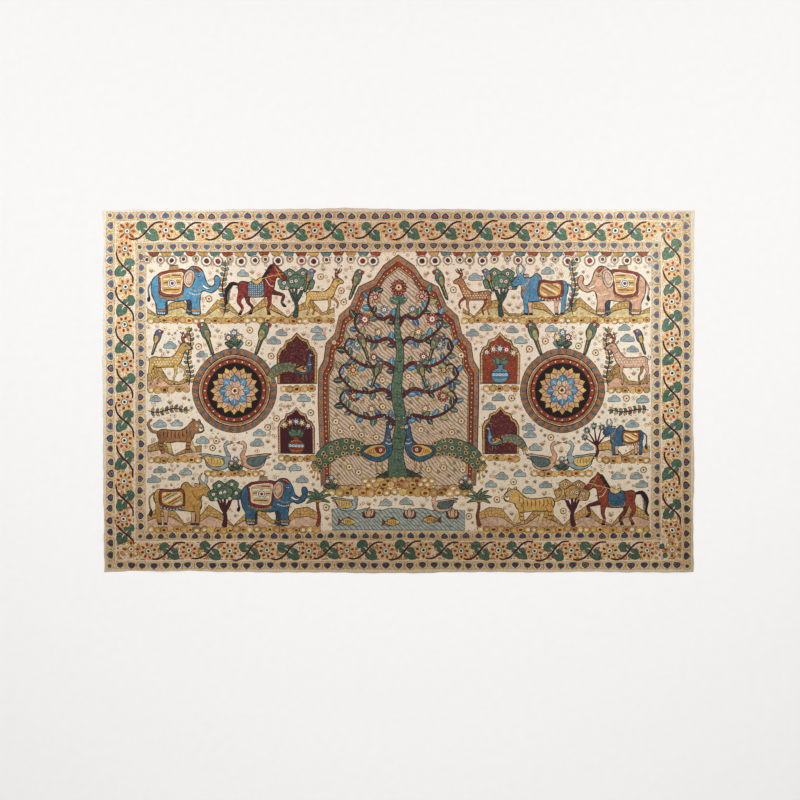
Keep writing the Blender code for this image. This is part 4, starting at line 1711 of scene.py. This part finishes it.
# %% A way to build a material's nodes
class Nodes:
    """Builds one material's node tree."""

    def __init__(self, name):
        self.material = bpy.data.materials.new(name)
        self.material.use_nodes = True
        self.tree = self.material.node_tree
        self.shader = self.tree.nodes["Principled BSDF"]

    def connect(self, what, socket):
        if isinstance(what, Value):
            what = what.socket
        if isinstance(what, bpy.types.NodeSocket):
            self.tree.links.new(what, socket)
        else:
            socket.default_value = what

    def make(self, kind, settings=None, inputs=None):
        node = self.tree.nodes.new(kind)
        for name, value in (settings or {}).items():
            if name == "stops":
                while len(node.color_ramp.elements) < len(value):
                    node.color_ramp.elements.new(0.5)
                for element, (at, colour) in zip(node.color_ramp.elements, value):
                    element.position, element.color = at, colour
            else:
                setattr(node, name, value)
        for name, value in (inputs or {}).items():
            self.connect(value, node.inputs[name])
        return node

    def value(self, kind, settings=None, inputs=None, output=0):
        return Value(self, self.make(kind, settings, inputs).outputs[output])

    def noise(self, where, scale, detail=3.0, roughness=0.5):
        inputs = {"Vector": where, "Scale": scale, "Detail": detail, "Roughness": roughness}
        return self.value("ShaderNodeTexNoise", None, inputs, "Fac")

    def stretched(self, where, scale):
        return self.make("ShaderNodeMapping", None, {"Vector": where, "Scale": scale}).outputs[0]

    def grey(self, depth):
        """One value as a grey colour."""
        inputs = dict.fromkeys(("Red", "Green", "Blue"), depth)
        return self.make("ShaderNodeCombineColor", None, inputs).outputs[0]

    def blend(self, mode, share, first, second):
        """Two colours mixed, multiplied or screened."""
        settings = {"data_type": "RGBA", "blend_type": mode}
        return self.make("ShaderNodeMix", settings, {0: share, 6: first, 7: second}).outputs[2]


def tint(red, green, blue):
    """A colour from 0 to 255 on a screen, as the light values that nodes use."""
    return [(c / 255.0) ** 2.2 for c in (red, green, blue)] + [1.0]


print("shader tools ready")

# %% The dyed cotton
cotton = Nodes("dyed_cotton")
where = cotton.make("ShaderNodeTexCoord").outputs["Object"]
dye_node = cotton.make("ShaderNodeVertexColor", {"layer_name": "dye"})
dye_colour = dye_node.outputs["Color"]
held = Value(cotton, dye_node.outputs["Alpha"])


def laid(how):
    """1 where the paint is laid in this way, by the last number of its entry in PAINTS."""
    return (held > how - 0.03) * (held < how + 0.03)


stippled, bubbled, spotted, scaled = laid(0.25), laid(0.35), laid(0.7), laid(0.8)
arched = laid(0.65)
lined = laid(0.6) + arched
penned = held > 0.9
washed = (held > 0.4) * (held < 0.9)


def cells(scale, loose=0.85, feature="F1"):
    """Evenly sized spots: how far a place is from the nearest one, and that one's own number."""
    node = cotton.make("ShaderNodeTexVoronoi", {"feature": feature},
                       {"Vector": where, "Scale": scale, "Randomness": loose})
    if feature != "F1":
        return Value(cotton, node.outputs["Distance"]), None
    number = cotton.value("ShaderNodeSeparateColor", None, {"Color": node.outputs["Color"]}, "Red")
    return Value(cotton, node.outputs["Distance"]), number


# Painted shade: the colour darkens from the top of the cloth to the bottom, where less light falls.
apart = cotton.make("ShaderNodeSeparateXYZ", None, {"Vector": where})
x_at, y_at = Value(cotton, apart.outputs["X"]), Value(cotton, apart.outputs["Y"])
clouds = cotton.noise(where, 3.2, 3.0, 0.55)
painted_bottom_shade = (y_at * -1.0 + (clouds - 0.5) * 0.22).between(-0.42, 0.56)
print("cotton so far:", len(cotton.tree.nodes), "nodes")

# %% Dots, bubbles and scales
# Scattered dabs in five paints on the field's bare ground.
far, number = cells(72.0, 0.9)
dab_colour = cotton.make("ShaderNodeValToRGB", {"stops": [
    (0.0, tint(170, 60, 50)), (0.25, tint(228, 178, 96)), (0.5, tint(206, 142, 88)),
    (0.7, tint(96, 146, 150)), (0.9, tint(90, 70, 62))]}, {"Fac": number})
dab_colour.color_ramp.interpolation = "CONSTANT"
dabs = (far < 0.18) * laid(0.15) * (number > 0.12)
colour = cotton.blend("MIX", dabs * 0.85, dye_colour, dab_colour.outputs["Color"])

# Tiny dots of ochre, grey and pink on the stippled grounds.
far, number = cells(250.0)
dot_colour = cotton.make("ShaderNodeValToRGB", {"stops": [
    (0.0, tint(214, 156, 84)), (0.34, tint(222, 164, 134)),
    (0.52, tint(128, 116, 128)), (0.72, tint(196, 142, 140)),
    (1.0, tint(244, 226, 200))]}, {"Fac": number}).outputs["Color"]
colour = cotton.blend("MIX", (1 - far.between(0.39, 0.51)) * stippled * 0.95, colour, dot_colour)

# Ochre bubbles crowd the ground behind the vine.
colour = cotton.blend("MIX", (1 - far.between(0.34, 0.46)) * bubbled * 0.75, colour, dot_colour)
far, number = cells(92.0, 0.75)
bubbled = bubbled * (number > 0.12)
# Painted shade: the bubbles' rings and hearts darken towards the bottom of the cloth.
ring_colour = cotton.blend("MIX", painted_bottom_shade, tint(240, 186, 88), tint(166, 112, 44))
heart_colour = cotton.blend("MIX", painted_bottom_shade, tint(255, 240, 200), tint(222, 192, 140))
colour = cotton.blend("MIX", (1 - far.between(0.46, 0.52)) * bubbled, colour, ring_colour)
colour = cotton.blend("MIX", (1 - far.between(0.24, 0.30)) * bubbled, colour, heart_colour)
colour = cotton.blend("MIX", (far < 0.09) * bubbled, colour, tint(176, 104, 70))

# Pale dots on the spotted cloths, scales on bark and crowns, and fine pen lines on the lined ones.
far, number = cells(165.0, 0.15)
colour = cotton.blend("MIX", (far < 0.27) * spotted * 0.9, colour, tint(248, 232, 204))
to_edge, _ = cells(105.0, 0.6, "DISTANCE_TO_EDGE")
colour = cotton.blend("MIX", (to_edge < 0.10) * scaled * 0.6, colour, tint(60, 62, 54))
waves = cotton.value("ShaderNodeTexWave", {"bands_direction": "DIAGONAL"},
                     {"Vector": where, "Scale": 50.0, "Distortion": 14.0, "Detail": 1.0,
                      "Detail Scale": 0.22}, "Fac")
colour = cotton.blend("MIX", waves.between(0.62, 0.76) * lined * 0.66, colour, tint(104, 88, 72))

# Small ringed dots stand on the bare ground and behind the tree, by reach and paint.
far, number = cells(34.0, 0.8)
ringed_here = laid(0.15) * (number > 0.2) + arched
for reach, ring in ((0.18, (136, 116, 98)), (0.155, (234, 188, 108)), (0.105, (252, 242, 222)),
                    (0.06, (170, 60, 50))):
    colour = cotton.blend("MIX", (far < reach) * ringed_here, colour, tint(*ring))
print("cotton so far:", len(cotton.tree.nodes), "nodes")

# %% Brush dabs, pools and painted shade
# The brush fills the figures in short dabs, and each dab takes its own depth of dye. The field's
# middle lies 3 mm below the cloth's.
off_x, off_y = x_at.maths("ABSOLUTE"), (y_at + 0.003).maths("ABSOLUTE")
figures = laid(0.5) * (off_x < 0.742) * (off_y < 0.41)
_, number = cells(58.0, 0.9)
to_edge, _ = cells(58.0, 0.9, "DISTANCE_TO_EDGE")
dabbed = figures * (number * 0.24 + (to_edge < 0.05) * 0.18)

# Washes pool into darker blots and thin to the cloth.
pools = cotton.noise(where, 95.0, 4.0, 0.6)
thin = cotton.noise(where, 240.0, 2.0)
colour = cotton.blend("MIX", washed * thin.between(0.48, 0.80) * 0.3, colour, tint(246, 228, 198))
shade = (1 - washed * pools.between(0.42, 0.70) * 0.3) * (1 - dabbed)
# Painted shade: palest in the upper corners, browner in the middle and towards the bottom, as the light
# falls off.
colour = cotton.blend("MULTIPLY", painted_bottom_shade, colour, tint(187, 177, 164))

# The dark dyes are mottled, and painted shade deepens them towards the bottom.
paleness = cotton.value("ShaderNodeSeparateColor", None, {"Color": dye_colour}, "Green")
deep = (1 - paleness.between(0.28, 0.50)) * washed
mottle = cotton.noise(where, 150.0, 3.0, 0.6).between(0.45, 0.70)
shade = shade * (1 - deep * (painted_bottom_shade * 0.28 + mottle * 0.22))
colour = cotton.blend("MULTIPLY", 1.0, colour, cotton.grey(shade))
# Painted shade: the cloth is darkened down its middle, fading out towards the bottom.
middle = (1 - (x_at * x_at).between(0.01, 0.42)) * (y_at + (clouds - 0.5) * 0.3).between(-0.45, 0.2)
colour = cotton.blend("MULTIPLY", middle, colour, tint(226, 217, 213))
print("cotton so far:", len(cotton.tree.nodes), "nodes")

# %% Darker border, painted shade and corner light, and stains
# The border is browner than the field. In the middle of both long sides this is painted shade, as
# less light falls there; it is browner also in the row of eyes next to the field and at the right edge.
long_band = off_y.between(0.40, 0.43)
short_band = off_x.between(0.735, 0.76)
# Painted shade in the middle of both long sides.
colour = cotton.blend("MULTIPLY", long_band * (1 - (x_at * x_at).between(0.0, 0.22)), colour,
                      tint(234, 231, 226))
colour = cotton.blend("MULTIPLY", (long_band + short_band) * 0.6, colour, tint(250, 247, 242))
inner_row = (long_band + short_band) * (1 - off_x.between(0.767, 0.776))
inner_row = inner_row * (1 - y_at.maths("ABSOLUTE").between(0.434, 0.443))
colour = cotton.blend("MULTIPLY", inner_row, colour, tint(241, 239, 235))
colour = cotton.blend("MULTIPLY", x_at.between(0.81, 0.83), colour, tint(240, 236, 231))

# Painted light: the upper corners are paled a little, most on the right, as if more brightly lit.
painted_corner_light = (x_at.between(0.2, 0.8) * 0.07 + (x_at * -1.0).between(0.2, 0.8) * 0.025) * y_at.between(-0.05, 0.45)
colour = cotton.blend("MIX", painted_corner_light, colour, tint(246, 228, 202))
stains = cotton.noise(where, 9.0, 5.0, 0.65).between(0.60, 0.80)
colour = cotton.blend("MULTIPLY", stains * 0.4, colour, tint(232, 216, 192))
print("cotton so far:", len(cotton.tree.nodes), "nodes")

# %% Threads, stitches and relief
# Warp and weft show as fine streaks along both ways of the cloth, and thicker threads as blots.
warp = cotton.noise(cotton.stretched(where, (1.0, 0.06, 1.0)), 900.0, 2.0, 0.6)
weft = cotton.noise(cotton.stretched(where, (0.06, 1.0, 1.0)), 900.0, 2.0, 0.6)
threads = (warp + weft) * 0.5
blots = cotton.noise(where, 210.0, 3.0, 0.7)
streak = (0.90 + threads * 0.2) * (0.55 + blots * 0.9)
colour = cotton.blend("MULTIPLY", 1.0, colour, cotton.grey(streak))

# The hem is sewn down with short running stitches of ecru thread.
hem_node = cotton.make("ShaderNodeAttribute", {"attribute_name": "hem"})
hem_parts = cotton.make("ShaderNodeSeparateXYZ", None, {"Vector": hem_node.outputs["Vector"]})
run, inset = Value(cotton, hem_parts.outputs["X"]), Value(cotton, hem_parts.outputs["Y"])
line = (inset > 4.9) * (inset < 5.9)
stitch = line * ((run / 4.6).maths("FRACT") < 0.62)
colour = cotton.blend("MIX", stitch * 0.55, colour, tint(214, 196, 164))

cotton.connect(colour, cotton.shader.inputs["Base Color"])
cotton.connect(0.96 - washed * 0.07 - penned * 0.05, cotton.shader.inputs["Roughness"])
for name, amount in (("Sheen Weight", 0.12), ("Sheen Roughness", 0.6), ("Specular IOR Level", 0.25)):
    cotton.connect(amount, cotton.shader.inputs[name])

ripple = cotton.noise(where, 14.0) * 1.2 + cotton.noise(where, 60.0) * 0.25
relief = threads * 0.22 + ripple - stitch * 0.35 + penned * 0.02
bump = cotton.make("ShaderNodeBump", None, {"Strength": 0.6, "Distance": 0.001, "Height": relief})
cotton.connect(bump.outputs[0], cotton.shader.inputs["Normal"])
cloth.data.materials.append(cotton.material)
print("cotton in all:", len(cotton.tree.nodes), "nodes")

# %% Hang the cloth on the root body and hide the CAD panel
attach(cloth, "root")
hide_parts("kalamkari_panel")
print("cloth dressed")

# %% [markdown]
# ## Floor, light and camera
# The panel lies on a pale matt floor and is seen from straight above. A long lens keeps its edges
# square. Two soft lamps beyond the top corners, a weaker one beyond the foot and a pale sky light
# the cloth evenly, a little brighter towards the top.

# %% The pale floor
bpy.ops.mesh.primitive_plane_add(size=12.0, location=(0.0, 0.0, 0.0))
floor = bpy.context.object
floor.name = "floor"
paper = Nodes("pale_floor")
grain = paper.noise(paper.make("ShaderNodeTexCoord").outputs["Object"], 40.0)
paper.connect(paper.blend("MIX", grain, tint(246, 246, 246), tint(252, 252, 252)),
              paper.shader.inputs["Base Color"])
paper.shader.inputs["Roughness"].default_value = 0.8
floor.data.materials.append(paper.material)

# %% Lamps and sky
def lamp(name, x, y, z, size, power):
    """A soft round lamp aimed at the cloth."""
    data = bpy.data.lights.new(name, "AREA")
    data.shape = "DISK"
    data.size = size
    data.energy = power
    data.color = (1.0, 0.98, 0.95)
    holder = bpy.data.objects.new(name, data)
    holder.location = (x, y, z)
    holder.rotation_euler = (Vector((0, 0.1, 0)) - holder.location).to_track_quat("-Z", "Y").to_euler()
    bpy.context.scene.collection.objects.link(holder)


lamp("key_left", -2.0, 1.1, 2.8, 1.8, 36)
lamp("key_right", 2.0, 1.1, 2.8, 1.8, 36)
lamp("fill", 0.0, -2.0, 3.2, 2.4, 30)

sky = bpy.data.worlds.new("studio")
bpy.context.scene.world = sky
sky.use_nodes = True
sky.node_tree.nodes["Background"].inputs["Color"].default_value = (1.0, 1.0, 1.0, 1.0)
sky.node_tree.nodes["Background"].inputs["Strength"].default_value = 0.42
bpy.context.scene.view_settings.view_transform = "Standard"

# %% The camera
camera_data = bpy.data.cameras.new("camera")
camera = bpy.data.objects.new("camera", camera_data)
height, sensor = 6.0, 36.0
metres_per_pixel = 0.00294
camera.location = (0.0044, -0.0279, height)
camera_data.sensor_width = sensor
camera_data.lens = sensor * height / (800 * metres_per_pixel)
bpy.context.scene.collection.objects.link(camera)
bpy.context.scene.camera = camera
print("lens", round(camera_data.lens, 1), "mm")
